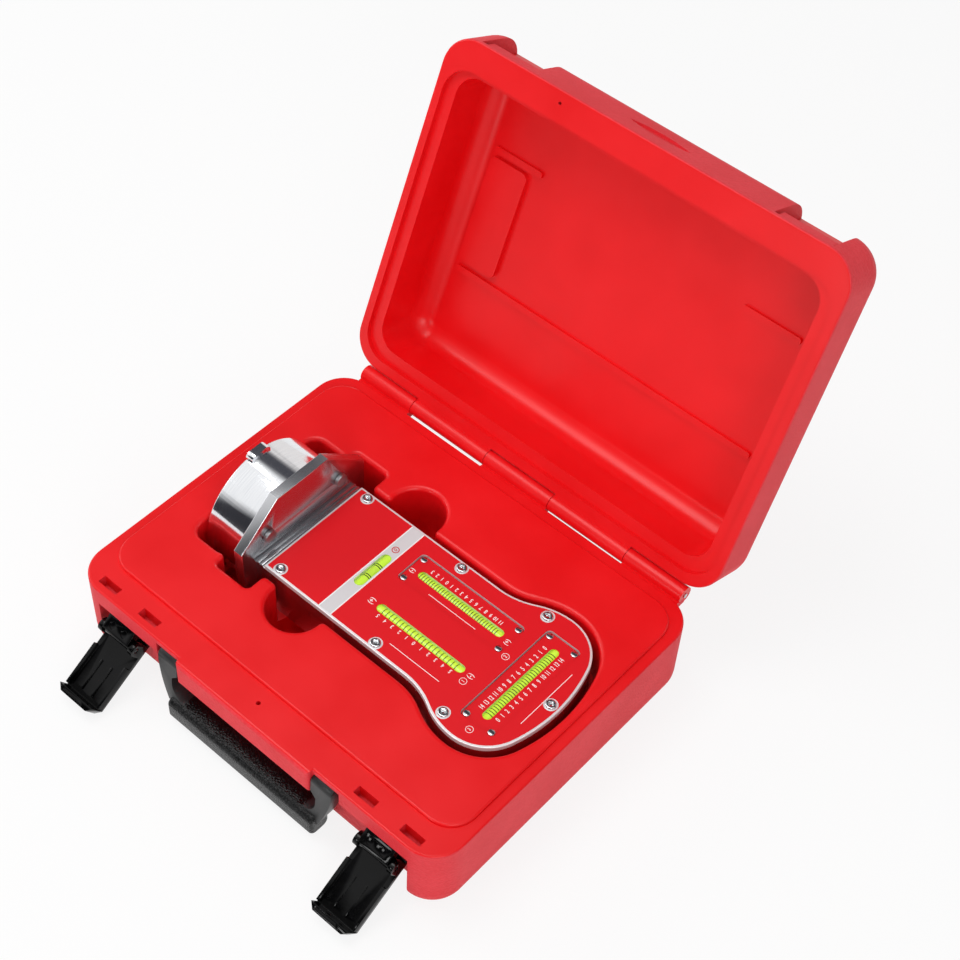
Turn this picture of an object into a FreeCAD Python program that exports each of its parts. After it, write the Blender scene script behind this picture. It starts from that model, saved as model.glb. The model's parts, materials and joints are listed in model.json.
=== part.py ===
import FreeCAD, Part
import math
import os
import re

# Camber caster gauge in its fitted carrying case. Millimetres.
# Origin: middle of the case's underside. X runs along the hinge, Y towards the hinge, Z up.
# The magnet end of the gauge points to -X and its rounded tail to +X.

os.makedirs("parts", exist_ok=True)
doc = FreeCAD.newDocument("camber_caster_gauge")
sheet = doc.addObject("Spreadsheet::Sheet", "Sizes")

SIZES = {
    # case base
    "case_length": 270.0, "case_depth": 211.4, "base_height": 54.5,
    "corner_radius": 20.0, "foot_radius": 14.0, "skin": 2.8,
    "deck_rise": 2.0, "deck_side_edge": 6.2, "deck_front_edge": 18.7, "deck_back_edge": 7.7,
    "deck_corner": 17.0, "deck_edge": 1.2, "rim_edge": 1.2,
    "front_recess": 8.0, "recess_half": 115.5, "recess_top": 42.0,
    "slot_near": 73.5, "slot_far": 105.2, "slot_length": 13.8, "slot_in": 4.7,
    "slot_width": 5.0, "slot_depth": 8.0,
    "dowel_hole_x": 0.8, "dowel_hole_in": 9.2, "dowel_hole_radius": 1.3,
    # lug in the middle of the base's front, which carries the handle
    "lug_half": 49.5, "lug_proud": 3.8, "lug_bottom": 36.5, "lug_round": 2.5,
    # carrying handle
    "handle_in": 2.7, "handle_z": 45.0, "peg_radius": 3.0, "peg_length": 6.0,
    "peg_play": 0.1, "handle_gap": 0.6, "handle_out": 64.5, "handle_mid": 61.5,
    "handle_low": 53.0, "handle_bottom": 4.4, "grip_top": 19.0, "arm_zone": 68.0,
    "arm_zone_top": 51.0, "handle_round": 5.0, "arm_step": 4.0,
    "grip_half": 55.0, "grip_low": 2.4, "grip_high": 18.8, "grip_front": 11.0,
    "grip_back": 2.4, "grip_round": 4.4, "grip_end": 2.0,
    # hinge
    "hinge_out": 5.75, "hinge_rise": 1.0, "knuckle_radius": 5.2, "hinge_pin_radius": 1.5,
    "hinge_play": 0.1, "web_drop": 5.0, "rim_gap": 0.3, "hinge_end": 121.0,
    "knuckle_gap": 0.4, "notch_depth": 1.5,
    "knuckle_a": 81.2, "knuckle_b": 23.2, "knuckle_c": 25.0, "knuckle_d": 80.8,
    # lid
    "lid_height": 42.5, "lid_round": 18.0, "lid_open": 112.8,
    "ledge_gap": 0.7, "ledge_depth": 3.0,
    "cavity_side": 7.5, "cavity_front_in": 2.6, "cavity_back_in": 7.7, "cavity_depth": 40.0,
    "cavity_corner": 14.0, "cavity_floor_round": 12.0,
    "bay_near": 79.5, "bay_far": 115.6, "bay_depth": 11.0, "flange_thick": 3.0,
    "catch_high": 12.7, "catch_back": 1.5, "catch_gap": 1.5,
    "thumb_half": 20.5, "thumb_low": 10.5, "thumb_high": 17.5, "thumb_depth": 1.5,
    "pad_height": 3.0, "pad_corner": 4.0, "rib_height": 2.0, "rib_width": 4.0, "rib_round": 1.6,
    "pad_left": 108.0, "pad_right": 81.0, "pad_front": 36.0, "pad_back": 32.0,
    "rib_back_y": 36.0, "rib_front_y": 38.0, "rib_front_x": 70.0,
    # latches
    "latch_x": 97.0, "latch_in": 3.5, "latch_pivot_z": 36.5, "link_length": 8.2,
    "link_swing": 48.0, "lever_swing": 170.0, "lever_half": 13.5, "lever_reach": 43.0,
    "lever_root": 5.0, "lever_offset": 6.8, "lever_thick": 2.5, "lever_flange": 3.0,
    "link_half": 10.0, "barrel_radius": 2.8, "link_thick": 3.0, "stub_radius": 1.5,
    "eye_radius": 3.0, "cheek_radius": 4.0, "cheek_gap": 0.4, "eye_thick": 3.0,
    "lever_side_start": 12.0, "claw_thick": 3.4, "claw_deep": 7.8, "claw_corner": 3.5,
    "link_front": 5.0, "link_top": 1.6, "link_cover": 1.6, "eye_spot": 3.5, "dimple_radius": 2.2,
    "dimple_spot": 4.5, "dimple_deep": 0.8, "groove_deep": 0.8, "groove_wide": 1.4,
    # pocket in the base
    "gauge_y": 5.5, "drum_pocket_left": 107.6, "drum_pocket_right": 80.0,
    "drum_pocket_half": 48.5, "flange_pocket_right": 56.0, "flange_pocket_half": 55.5,
    "pocket_round": 8.0, "pocket_corner": 3.0, "pocket_lip": 2.8, "plate_gap": 4.0,
    "gauge_floor": 24.0, "finger_floor": 12.0, "finger_radius": 17.0,
    "finger_near_x": 28.5, "finger_near_y": 40.0, "finger_far_x": 25.5, "finger_far_y": 52.5,
    "well_radius": 11.0, "well_floor": 11.0,
    # gauge outline, half of it, from the magnet end to the tail
    "plate_start": 60.0, "plate_half": 38.5, "swell_start": 45.0, "swell_top_x": 88.0,
    "swell_half": 49.7, "shoulder_radius": 28.0, "tail_x": 119.5,
    "plate_top": 57.2, "plate_thick": 3.0, "label_thick": 0.3, "label_border": 1.4,
    "label_cutout": 4.1, "body_wall": 4.0, "body_floor": 4.0,
    # end flange and its step
    "flange_back": 67.0, "flange_front": 73.5, "flange_top": 92.0, "flange_top_half": 19.5,
    "flange_half": 48.0, "flange_shoulder": 67.5, "flange_low_shoulder": 18.0,
    "flange_bottom": 3.8, "flange_foot_half": 33.0, "step_height": 2.6, "ridge": 1.2,
    "metal_edge": 0.7, "plate_edge": 0.4,
    # magnetic drum
    "drum_radius": 40.5, "drum_z": 43.8, "drum_face": 105.0,
    "cup_back": 6.5, "magnet_outer": 33.0, "pole_outer": 16.0, "magnet_recess": 1.0,
    "drum_lug_half": 7.0, "drum_lug_long": 5.0, "drum_lug_proud": 4.0,
    "drum_lug_root": 4.5, "drum_lug_round": 3.2, "drum_screw_angle": 48.9,
    "drum_screw_circle": 36.75, "drum_screw_head": 4.0, "drum_screw_shank": 2.5,
    "plunger_radius": 6.0, "plunger_play": 0.08, "plunger_nose": 1.4, "plunger_cone": 3.4,
    "plunger_collar": 8.2, "plunger_stem": 3.0, "pole_front": 8.0,
    "chamber_radius": 8.6, "spring_radius": 5.6, "spring_wire": 0.5, "spring_turns": 5.0,
    # screws and vials
    "face_head_radius": 3.1, "face_head_high": 1.2, "head_round": 0.8, "face_shank": 1.5, "face_depth": 9.0,
    "vial_radius": 3.4, "vial_wall": 0.8, "vial_gap": 0.3, "vial_sunk": 0.2, "slot_half": 2.8,
    "level_x": 14.5, "level_long": 30.0, "level_slot": 27.0, "level_slot_half": 3.2,
    "camber_y": 15.5, "camber_x": 4.2, "camber_long": 62.6,
    # tilting scale plates over the castor and kingpin vials
    "tilt_gap": 0.5, "scale_thick": 0.6, "scale_drop": 1.1, "window_round": 3.0, "cradle_deep": 8.7,
    "scale_screw_head": 2.0, "scale_screw_shank": 1.0, "scale_screw_inset": 3.0,
    "tilt_pin_radius": 1.5, "tilt_pin_z": 44.0, "tilt_pin_half": 8.0, "tilt_pin_in": 4.0,
    "tilt_lug_half": 4.0, "tilt_play": 0.08, "tilt_arm": 62.0,
    "adjuster_shank": 2.0, "adjuster_head": 7.0, "adjuster_drop": 7.0, "adjuster_gap": 0.5,
    "castor_x": 2.2, "castor_y": 16.75, "castor_long": 75.2, "castor_wide": 22.5,
    "kingpin_x": 93.4, "kingpin_y": 36.5, "kingpin_long": 73.0, "kingpin_wide": 23.2,
    "spare": 1.0,
}

for row, (word, number) in enumerate(SIZES.items(), 1):
    sheet.set("A%d" % row, word)
    sheet.set("B%d" % row, str(number))
    sheet.setAlias("B%d" % row, word)
doc.recompute()


def val(word):
    return float(sheet.get(word))


# Lengths that follow from others: the deck keeps inside the case's rim, the lid's ledge fits
# round the deck, the lid's cavity keeps inside the ledge, and hinge, handle and latches keep
# to the case's back and front.
FOLLOWING = {
    "cavity_half": "ledge_half - cavity_side",
    "cavity_front": "ledge_front - cavity_front_in",
    "cavity_back": "ledge_back - cavity_back_in",
    "ledge_half": "deck_half + ledge_gap",
    "ledge_front": "deck_front + ledge_gap * 2",
    "ledge_back": "deck_back + ledge_gap",
    "deck_half": "case_length / 2 - deck_side_edge",
    "deck_front": "case_depth / 2 - deck_front_edge",
    "deck_back": "case_depth / 2 - deck_back_edge",
    "hinge_y": "case_depth / 2 + hinge_out",
    "lug_front": "case_depth / 2 + lug_proud",
    "handle_y": "case_depth / 2 - handle_in",
    "latch_pivot_y": "case_depth / 2 - latch_in",
    "slot_front": "case_depth / 2 - slot_in",
    "dowel_hole_y": "case_depth / 2 - dowel_hole_in",
}
half_depth = val("case_depth") / 2


def bind(item, where, text):
    """Ties one property to a formula that is written with the sheet's words."""
    text = str(text)
    for word, formula in FOLLOWING.items():
        text = re.sub(r"\b%s\b" % word, "(%s)" % formula, text)
    words = re.sub(r"[a-z]\w+", lambda found: "Sizes." + found.group(0)
                   if found.group(0) in SIZES else found.group(0), text)
    item.setExpression(where, words)


def box(name, x, y, z):
    solid = doc.addObject("Part::Box", name)
    for where, (low, high) in zip(("Length", "Width", "Height"), (x, y, z)):
        bind(solid, where, "(%s) - (%s)" % (high, low))
    for axis, (low, high) in zip("xyz", (x, y, z)):
        bind(solid, "Placement.Base." + axis, low)
    return solid


ALONG = {
    "x": FreeCAD.Rotation(FreeCAD.Vector(0, 1, 0), 90),
    "y": FreeCAD.Rotation(FreeCAD.Vector(1, 0, 0), -90),
    "z": FreeCAD.Rotation(),
}


def rod(name, radius, axis, low, high, one, two, seam=0.0):
    """A round bar along one axis; one and two are its centre on the other two axes.
    The seam is the angle of the line where the round face closes on itself."""
    solid = doc.addObject("Part::Cylinder", name)
    bind(solid, "Radius", radius)
    bind(solid, "Height", "(%s) - (%s)" % (high, low))
    solid.Placement.Rotation = ALONG[axis].multiply(
        FreeCAD.Rotation(FreeCAD.Vector(0, 0, 1), seam))
    across = [other for other in "xyz" if other != axis]
    bind(solid, "Placement.Base." + axis, low)
    bind(solid, "Placement.Base." + across[0], one)
    bind(solid, "Placement.Base." + across[1], two)
    return solid


PLANES = {
    "xy": (FreeCAD.Rotation(), FreeCAD.Vector(0, 0, 1), "z"),
    "xz": (FreeCAD.Rotation(FreeCAD.Vector(1, 0, 0), 90), FreeCAD.Vector(0, 1, 0), "y"),
    "yz": (FreeCAD.Rotation(0.5, 0.5, 0.5, 0.5), FreeCAD.Vector(1, 0, 0), "x"),
}


def curves(path):
    """Lines through the points of a closed path; three points in one entry make an arc
    from the last point through the first of them to the second."""
    pieces = []
    start = path[0]
    for step in path[1:] + [path[0]]:
        if len(step) == 4:
            middle, end = step[:2], step[2:]
            pieces.append(Part.Arc(FreeCAD.Vector(*start), FreeCAD.Vector(*middle),
                                   FreeCAD.Vector(*end)))
            start = end
            continue
        if math.dist(start, step) > 1e-6:
            pieces.append(Part.LineSegment(FreeCAD.Vector(*start, 0), FreeCAD.Vector(*step, 0)))
        start = step
    return pieces


def prism(name, plane, path, low, high):
    """A sketched outline extruded along the axis across its plane."""
    turn, out, axis = PLANES[plane]
    sketch = doc.addObject("Sketcher::SketchObject", name + "_outline")
    sketch.Placement = FreeCAD.Placement(FreeCAD.Vector(), turn)
    bind(sketch, "Placement.Base." + axis, low)
    sketch.addGeometry(curves(path), False)
    solid = doc.addObject("Part::Extrusion", name)
    solid.Base = sketch
    solid.DirMode = "Custom"
    solid.Dir = out
    solid.Solid = True
    bind(solid, "LengthFwd", "(%s) - (%s)" % (high, low))
    return solid


def fuse(name, *solids):
    joined = doc.addObject("Part::MultiFuse", name)
    joined.Shapes = list(solids)
    joined.Refine = True
    return joined


def cut(name, base, *tools):
    result = doc.addObject("Part::Cut", name)
    result.Base = base
    result.Tool = tools[0] if len(tools) == 1 else fuse(name + "_tools", *tools)
    result.Refine = True
    return result


def group(name, solids):
    together = doc.addObject("Part::Compound", name)
    together.Links = list(solids)
    return together


def rounded(name, base, radius, wanted):
    """Rounds the edges that the test picks."""
    doc.recompute()
    result = doc.addObject("Part::Fillet", name)
    result.Base = base
    result.Edges = [(number, radius, radius)
                    for number, edge in enumerate(base.Shape.Edges, 1) if wanted(edge)]
    return result


def upright(edge):
    box_of = edge.BoundBox
    return box_of.XLength < 1e-4 and box_of.YLength < 1e-4


def lying_at(height):
    return lambda edge: (edge.BoundBox.ZLength < 1e-4
                         and abs(edge.BoundBox.ZMin - height) < 1e-3)


def within(half_long, half_wide):
    """Whether an edge keeps inside a rectangle about the middle of the case."""
    return lambda edge: (max(abs(edge.BoundBox.XMin), abs(edge.BoundBox.XMax)) < half_long
                         and max(abs(edge.BoundBox.YMin), abs(edge.BoundBox.YMax)) < half_wide)


def sharp(shape):
    """Whether the two faces that meet at an edge turn a corner there."""
    def turned(edge):
        sides = shape.ancestorsOfType(edge, Part.Face)
        if len(sides) != 2:
            return False
        place = edge.valueAt((edge.FirstParameter + edge.LastParameter) / 2)
        one, two = (face.normalAt(*face.Surface.parameter(place)) for face in sides)
        return abs(one.dot(two)) < 0.94
    return turned


def rounded_box(name, x, y, z, radius, end_radius=0.0, end="bottom"):
    """A box with round upright edges and, if asked for, one round end."""
    block = rounded(name + "_sides", box(name + "_block", x, y, z), radius, upright)
    if not end_radius:
        return block
    doc.recompute()
    limits = block.Shape.BoundBox
    height = limits.ZMin if end == "bottom" else limits.ZMax
    return rounded(name, block, end_radius, lying_at(height))


node_names = []


def node(item, name, place=None):
    item.Label = name
    if place is not None:
        item.Placement = place
    node_names.append(name)
    item_of[name] = item
    return item


item_of = {}
mid = val("gauge_y")
rim = "base_height"
lid_rim = "base_height + rim_gap"

# ---------------------------------------------------------------------------------------
# Outline of the gauge, at a chosen distance outside its edge. Straight sides swell out
# through two equal arcs, then run round the shoulders into the tail.


def plate_path(grow, start_x):
    half, swell, start = val("plate_half"), val("swell_half"), val("swell_start")
    top_x, tail, shoulder = val("swell_top_x"), val("tail_x"), val("shoulder_radius")
    run, rise = top_x - start, swell - half
    bend = (run * run + rise * rise) / (4 * rise)
    # the tail arc is centred on the middle line and touches the shoulder arc from outside
    low = swell - shoulder
    reach = tail - top_x
    tail_radius = (reach ** 2 + low ** 2 - shoulder ** 2) / (2 * (reach - shoulder))
    lean = math.hypot(top_x - (tail - tail_radius), low)
    touch = math.atan2(low, top_x - (tail - tail_radius))
    assert abs(lean - (tail_radius - shoulder)) < 1e-6
    turn = math.asin(run / 2 / bend)

    def arc(cx, cy, radius, angle):
        return (cx + radius * math.cos(angle), cy + radius * math.sin(angle))

    up = math.pi / 2
    first = (start, half + bend)
    second = (top_x, swell - bend)
    third = (top_x, low)
    steps = [(start, half + grow)]
    inner, outer = bend - grow, bend + grow
    steps.append(arc(*first, inner, -up + turn / 2) + arc(*first, inner, -up + turn))
    steps.append(arc(*second, outer, up + turn / 2) + arc(*second, outer, up))
    bow = shoulder + grow
    steps.append(arc(*third, bow, (up + touch) / 2) + arc(*third, bow, touch))
    last = (tail - tail_radius, 0.0)
    ends = arc(*last, tail_radius + grow, -touch)
    steps.append((tail + grow, 0.0) + ends)
    # the other half, mirrored, in the opposite order
    third, second, first = (third[0], -third[1]), (second[0], -second[1]), (start, -first[1])
    steps.append(arc(*third, bow, -(up + touch) / 2) + arc(*third, bow, -up))
    steps.append(arc(*second, outer, -up - turn / 2) + arc(*second, outer, -up - turn))
    steps.append(arc(*first, inner, up - turn / 2) + arc(*first, inner, up))
    path = [(-start_x, half + grow)] + steps + [(-start_x, -half - grow)]
    return [tuple(number + (mid if place % 2 else 0.0) for place, number in enumerate(step))
            for step in path]


def plate_prism(name, grow, start_x, low, high):
    return prism(name, "xy", plate_path(grow, start_x), low, high)


# ---------------------------------------------------------------------------------------
# Case base: a blow-moulded block with two skins. A front recess takes the handle and the
# latches, the pocket takes the gauge, and the space between the skins is hollow.

half_x, half_y = "case_length / 2", "case_depth / 2"
wall_y = "case_depth / 2 - front_recess"
block = rounded_box("base_block", ("-" + half_x, half_x), ("-" + half_y, half_y), ("0", rim),
                    val("corner_radius"), val("foot_radius"))
block = rounded("base_rim_edge", block, val("rim_edge"), lying_at(val("base_height")))
deck = rounded_box("base_deck", ("-deck_half", "deck_half"), ("-deck_front", "deck_back"),
                   ("base_height - spare", "base_height + deck_rise"), val("deck_corner"),
                   val("deck_edge"), "top")
shell = fuse("base_shell", block, deck)

front = -(val("case_depth") / 2 - val("front_recess"))
foot = val("foot_radius")
far, under = front - 2 * foot, -val("spare")
recess_path = [(far, under), (front + foot, under), (front + foot, 0.0),
               (front + foot * (1 - math.sin(math.pi / 4)),
                foot * (1 - math.cos(math.pi / 4)), front, foot),
               (front, val("recess_top")), (far, val("recess_top"))]
recess = prism("base_recess", "yz", recess_path, "-recess_half", "recess_half")
arm_zones = [box("arm_zone_" + side, (low, high), ("-%s - spare" % half_y, "-(%s)" % wall_y),
                 ("recess_top - spare", "arm_zone_top"))
             for side, low, high in (("left", "-arm_zone", "-lug_half - spare / 2"),
                                     ("right", "lug_half + spare / 2", "arm_zone"))]
shell = cut("base_fronted", shell, recess, *arm_zones)

lug = rounded("base_lug", box("base_lug_block", ("-lug_half", "lug_half"),
                              ("-lug_front", "-(%s)" % wall_y), ("lug_bottom", rim)),
              val("lug_round"), lambda edge: edge.BoundBox.YMax < -half_depth - val("lug_proud") + 1e-3)
eyes = []
for side, sign in (("left", "-"), ("right", "")):
    for part, low, high in (("inner", "%slatch_x - eye_spot - eye_thick" % sign,
                             "%slatch_x - eye_spot" % sign),
                            ("outer", "%slatch_x + eye_spot" % sign,
                             "%slatch_x + eye_spot + eye_thick" % sign)):
        name = "eye_%s_%s" % (side, part)
        eyes.append(rod(name, "eye_radius", "x", low, high, "-latch_pivot_y", "latch_pivot_z"))
        eyes.append(box(name + "_foot", (low, high), ("-latch_pivot_y", "-(%s) + spare" % wall_y),
                        ("latch_pivot_z - eye_radius", "latch_pivot_z + eye_radius")))

# Three of the five hinge knuckles belong to the base, each on a short web.
BASE_KNUCKLES = (("a", "-hinge_end", "-knuckle_a"), ("c", "-knuckle_b", "knuckle_c"),
                 ("e", "knuckle_d", "hinge_end"))
LID_KNUCKLES = (("b", "-knuckle_a + knuckle_gap", "-knuckle_b - knuckle_gap"),
                ("d", "knuckle_c + knuckle_gap", "knuckle_d - knuckle_gap"))
hinge_z = "base_height + hinge_rise"
knuckles = []
for letter, low, high in BASE_KNUCKLES:
    knuckles.append(rod("knuckle_" + letter, "knuckle_radius", "x", low, high,
                        "hinge_y", hinge_z))
    knuckles.append(box("web_" + letter, (low, high), (half_y + " - spare", "hinge_y"),
                        ("base_height - web_drop", "base_height - rim_gap")))
body = fuse("base_with_lugs", shell, lug, *eyes, *knuckles)

drum_pocket = rounded_box("drum_pocket", ("-drum_pocket_left", "-drum_pocket_right"),
                          ("gauge_y - drum_pocket_half", "gauge_y + drum_pocket_half"),
                          ("skin", "base_height + deck_rise + spare"), val("pocket_round"))
flange_pocket = box("flange_pocket", ("-drum_pocket_right - spare", "-flange_pocket_right"),
                    ("gauge_y - flange_pocket_half", "gauge_y + flange_pocket_half"),
                    ("skin", "base_height + deck_rise + spare"))
plate_pocket = plate_prism("plate_pocket", val("plate_gap"), val("plate_start"),
                           "gauge_floor", "base_height + deck_rise + spare")
fingers = [rod("finger_" + side, "finger_radius", "z", "finger_floor",
               "base_height + deck_rise + spare", x, y, seam)
           for side, x, y, seam in (("near", "-finger_near_x", "-finger_near_y", 90),
                                    ("far", "-finger_far_x", "finger_far_y", -90))]
knob_spots = (("castor", "tilt_arm - castor_x + tilt_pin_in", "gauge_y + castor_y"),
              ("kingpin", "kingpin_x", "gauge_y - kingpin_y + tilt_pin_in + tilt_arm"))
wells = [rod("well_" + which, "well_radius", "z", "well_floor", "gauge_floor + spare", x, y)
         for which, x, y in knob_spots]
slots = []
for side, sign in (("left", -1), ("right", 1)):
    for spot in ("slot_near", "slot_far"):
        ends = ("-%s - slot_length" % spot, "-" + spot) if sign < 0 else \
            (spot, "%s + slot_length" % spot)
        slots.append(box("%s_%s" % (spot, side), ends,
                         ("-slot_front", "-slot_front + slot_width"),
                         ("base_height - slot_depth", "base_height + spare")))
dowel = rod("dowel_hole", "dowel_hole_radius", "z", "base_height - slot_depth",
            "base_height + spare", "dowel_hole_x", "-dowel_hole_y")
sockets = [rod("socket_" + side, "peg_radius + peg_play", "x", low, high,
               "-handle_y", "handle_z")
           for side, low, high in (("left", "-lug_half - spare", "-lug_half + peg_length + 0.5"),
                                   ("right", "lug_half - peg_length - 0.5",
                                    "lug_half + spare"))]
stub_holes = [rod("stub_hole_" + side, "stub_radius + peg_play", "x",
                  "%slatch_x - lever_half - spare" % sign, "%slatch_x + lever_half + spare" % sign,
                  "-latch_pivot_y", "latch_pivot_z")
              for side, sign in (("left", "-"), ("right", ""))]
pin_hole = rod("base_pin_hole", "hinge_pin_radius", "x", "-hinge_end - spare",
               "hinge_end + spare", "hinge_y", hinge_z)
notch = box("hinge_notch", ("-knuckle_a", "-knuckle_b"),
            (half_y + " - notch_depth", half_y + " + spare"),
            ("base_height - web_drop * 2", "base_height + spare"))

# The closed hollow between the skins, in plain blocks: front, back, left, and under the
# pocket. They keep clear of the round corners and the round foot.
hollow_top = "base_height - skin"
hollow = fuse(
    "base_hollow",
    box("hollow_front", ("-recess_half", "recess_half"),
        ("-(%s) + skin" % wall_y, "gauge_y - flange_pocket_half - skin * 3"),
        ("foot_radius / 2", "recess_top")),
    box("hollow_back", ("-deck_half + skin * 3", "deck_half - skin * 3"),
        ("gauge_y + flange_pocket_half + finger_radius - 2 * skin", half_y + " - skin * 2"),
        ("foot_radius / 2", hollow_top)),
    box("hollow_left", ("-(%s) + skin * 2" % half_x, "-drum_pocket_left - skin"),
        ("-deck_front", half_y + " - corner_radius * 0.65"), ("foot_radius / 2", hollow_top)),
    box("hollow_under", ("-flange_pocket_right + skin", "tail_x"),
        ("-deck_front", half_y + " - foot_radius"), ("skin", "well_floor - skin")))
base = cut("base_cut", body, drum_pocket, flange_pocket, plate_pocket, *fingers, *wells,
           *slots, dowel, *sockets, *stub_holes, pin_hole, notch, hollow)

# The pocket's upright corners and then its whole upper edge are rounded, as a blow
# mould leaves them.
doc.recompute()
deck_top = val("base_height") + val("deck_rise")
inside = within(val("case_length") / 2 - val("deck_side_edge") - val("skin"),
                val("case_depth") / 2 - val("deck_front_edge") - val("skin"))
turned = sharp(base.Shape)
base = rounded("base_pocket_corners", base, val("pocket_corner"),
               lambda edge: (upright(edge) and inside(edge) and turned(edge)
                             and abs(edge.BoundBox.ZMax - deck_top) < 1e-3))
at_deck = lying_at(deck_top)
node(rounded("case_base_solid", base, val("pocket_lip"),
             lambda edge: at_deck(edge) and inside(edge)), "case_base")

# ---------------------------------------------------------------------------------------
# Lid, drawn closed on the base and then swung open about the hinge.

lid_top = "base_height + rim_gap + lid_height"
lid = rounded_box("lid_block", ("-" + half_x, half_x), ("-" + half_y, half_y),
                  (lid_rim, lid_top), val("corner_radius"), val("lid_round"), "top")
lid = rounded("lid_rim_edge", lid, val("rim_edge"),
              lying_at(val("base_height") + val("rim_gap")))
lid_webs = []
for letter, low, high in LID_KNUCKLES:
    lid_webs.append(rod("knuckle_" + letter, "knuckle_radius", "x", low, high,
                        "hinge_y", hinge_z))
    lid_webs.append(box("web_" + letter, (low, high), (half_y + " - spare", "hinge_y"),
                        (lid_rim, "base_height + rim_gap + web_drop")))
lid = fuse("lid_with_webs", lid, *lid_webs)
ledge = rounded_box("lid_ledge", ("-ledge_half", "ledge_half"), ("-ledge_front", "ledge_back"),
                    ("base_height", "base_height + rim_gap + ledge_depth"), val("deck_corner"))
cavity = rounded_box("lid_cavity", ("-cavity_half", "cavity_half"),
                     ("-cavity_front", "cavity_back"),
                     ("base_height", "base_height + rim_gap + cavity_depth"),
                     val("cavity_corner"), val("cavity_floor_round"), "top")
bays = [box("lid_bay_" + side, ends, ("-%s - spare" % half_y, "-(%s) + bay_depth" % half_y),
            ("base_height + rim_gap + flange_thick", lid_top + " + spare"))
        for side, ends in (("left", ("-bay_far", "-bay_near")),
                           ("right", ("bay_near", "bay_far")))]
thumb = val("base_height") + val("rim_gap")
wide, low, high = val("thumb_half"), thumb + val("thumb_low"), thumb + val("thumb_high")
middle = (low + high) / 2
thumb_dip = prism("thumb_dip", "xz", [(-wide, middle), (0.0, high, wide, middle),
                                      (0.0, low, -wide, middle)],
                  "-%s - spare" % half_y, "-(%s) + thumb_depth" % half_y)
lid_dowel = rod("lid_dowel", "dowel_hole_radius * 0.8", "z", "base_height",
                "base_height + rim_gap + slot_width", "-55.8", "-98.6")
lid_pin_hole = rod("lid_pin_hole", "hinge_pin_radius + hinge_play", "x", "-hinge_end - spare",
                   "hinge_end + spare", "hinge_y", hinge_z)
lid_hollow_top = "base_height + rim_gap + lid_height - lid_round + skin * 1.5"
lid_hollows = [
    box("lid_hollow_front", ("-bay_near + skin", "bay_near - skin"),
        ("-(%s) + skin" % half_y, "-ledge_front - skin / 2"),
        ("base_height + rim_gap + skin", lid_hollow_top)),
    box("lid_hollow_left", ("-(%s) + skin" % half_x, "-ledge_half - skin / 2"),
        ("-ledge_front", "cavity_back"), ("base_height + rim_gap + skin", lid_hollow_top)),
    box("lid_hollow_right", ("ledge_half + skin / 2", half_x + " - skin"),
        ("-ledge_front", "cavity_back"), ("base_height + rim_gap + skin", lid_hollow_top)),
    box("lid_hollow_back", ("-cavity_half", "cavity_half"),
        ("cavity_back + skin", half_y + " - skin"),
        ("base_height + rim_gap + ledge_depth + skin", lid_hollow_top))]
lid = cut("lid_hollowed", lid, ledge, cavity, *bays, thumb_dip, lid_dowel, lid_pin_hole,
          *lid_hollows)

# Each bay holds a catch that the claw of its latch closes over.
catches = [box("lid_catch_" + side, ends, ("-(%s) + catch_back" % half_y,
                                           "-(%s) + bay_depth + spare" % half_y),
               ("base_height + rim_gap + flange_thick - spare",
                "base_height + rim_gap + catch_high"))
           for side, ends in (("left", ("-bay_far + catch_gap", "-bay_near - catch_gap")),
                              ("right", ("bay_near + catch_gap", "bay_far - catch_gap")))]

# Raised pad over the drum and stiffening ribs on the inside of the lid.
floor_z = "base_height + rim_gap + cavity_depth"
rib_under, rib_top = floor_z + " - rib_height", floor_z + " + spare"
ribs = [
    rounded_box("lid_pad", ("-pad_left", "-pad_right"), ("-pad_front", "pad_back"),
                (floor_z + " - pad_height", rib_top), val("pad_corner")),
    rounded_box("lid_rib_back", ("-pad_left", "pad_left"),
                ("rib_back_y", "rib_back_y + rib_width"), (rib_under, rib_top),
                val("rib_round")),
    rounded_box("lid_rib_front", ("rib_front_x", "pad_left"),
                ("-rib_front_y", "-rib_front_y + rib_width"), (rib_under, rib_top),
                val("rib_round")),
    rounded_box("lid_rib_end", ("-pad_left", "-pad_right + rib_width * 2"),
                ("-pad_front - rib_width * 1.5", "-pad_front - rib_width / 2"),
                (rib_under, rib_top), val("rib_round"))]
hinge_point = FreeCAD.Vector(0, half_depth + val("hinge_out"),
                             val("base_height") + val("hinge_rise"))
swung = FreeCAD.Placement(FreeCAD.Vector(), FreeCAD.Rotation(FreeCAD.Vector(1, 0, 0),
                                                             -val("lid_open")), hinge_point)
node(fuse("lid_solid", lid, *ribs, *catches), "case_lid", swung)

node(rod("hinge_pin_rod", "hinge_pin_radius", "x", "-hinge_end - 0.5", "hinge_end + 0.5",
         "hinge_y", hinge_z), "hinge_pin")

# ---------------------------------------------------------------------------------------
# Carrying handle: two arms on pegs beside the lug and a thicker grip below it.

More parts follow.
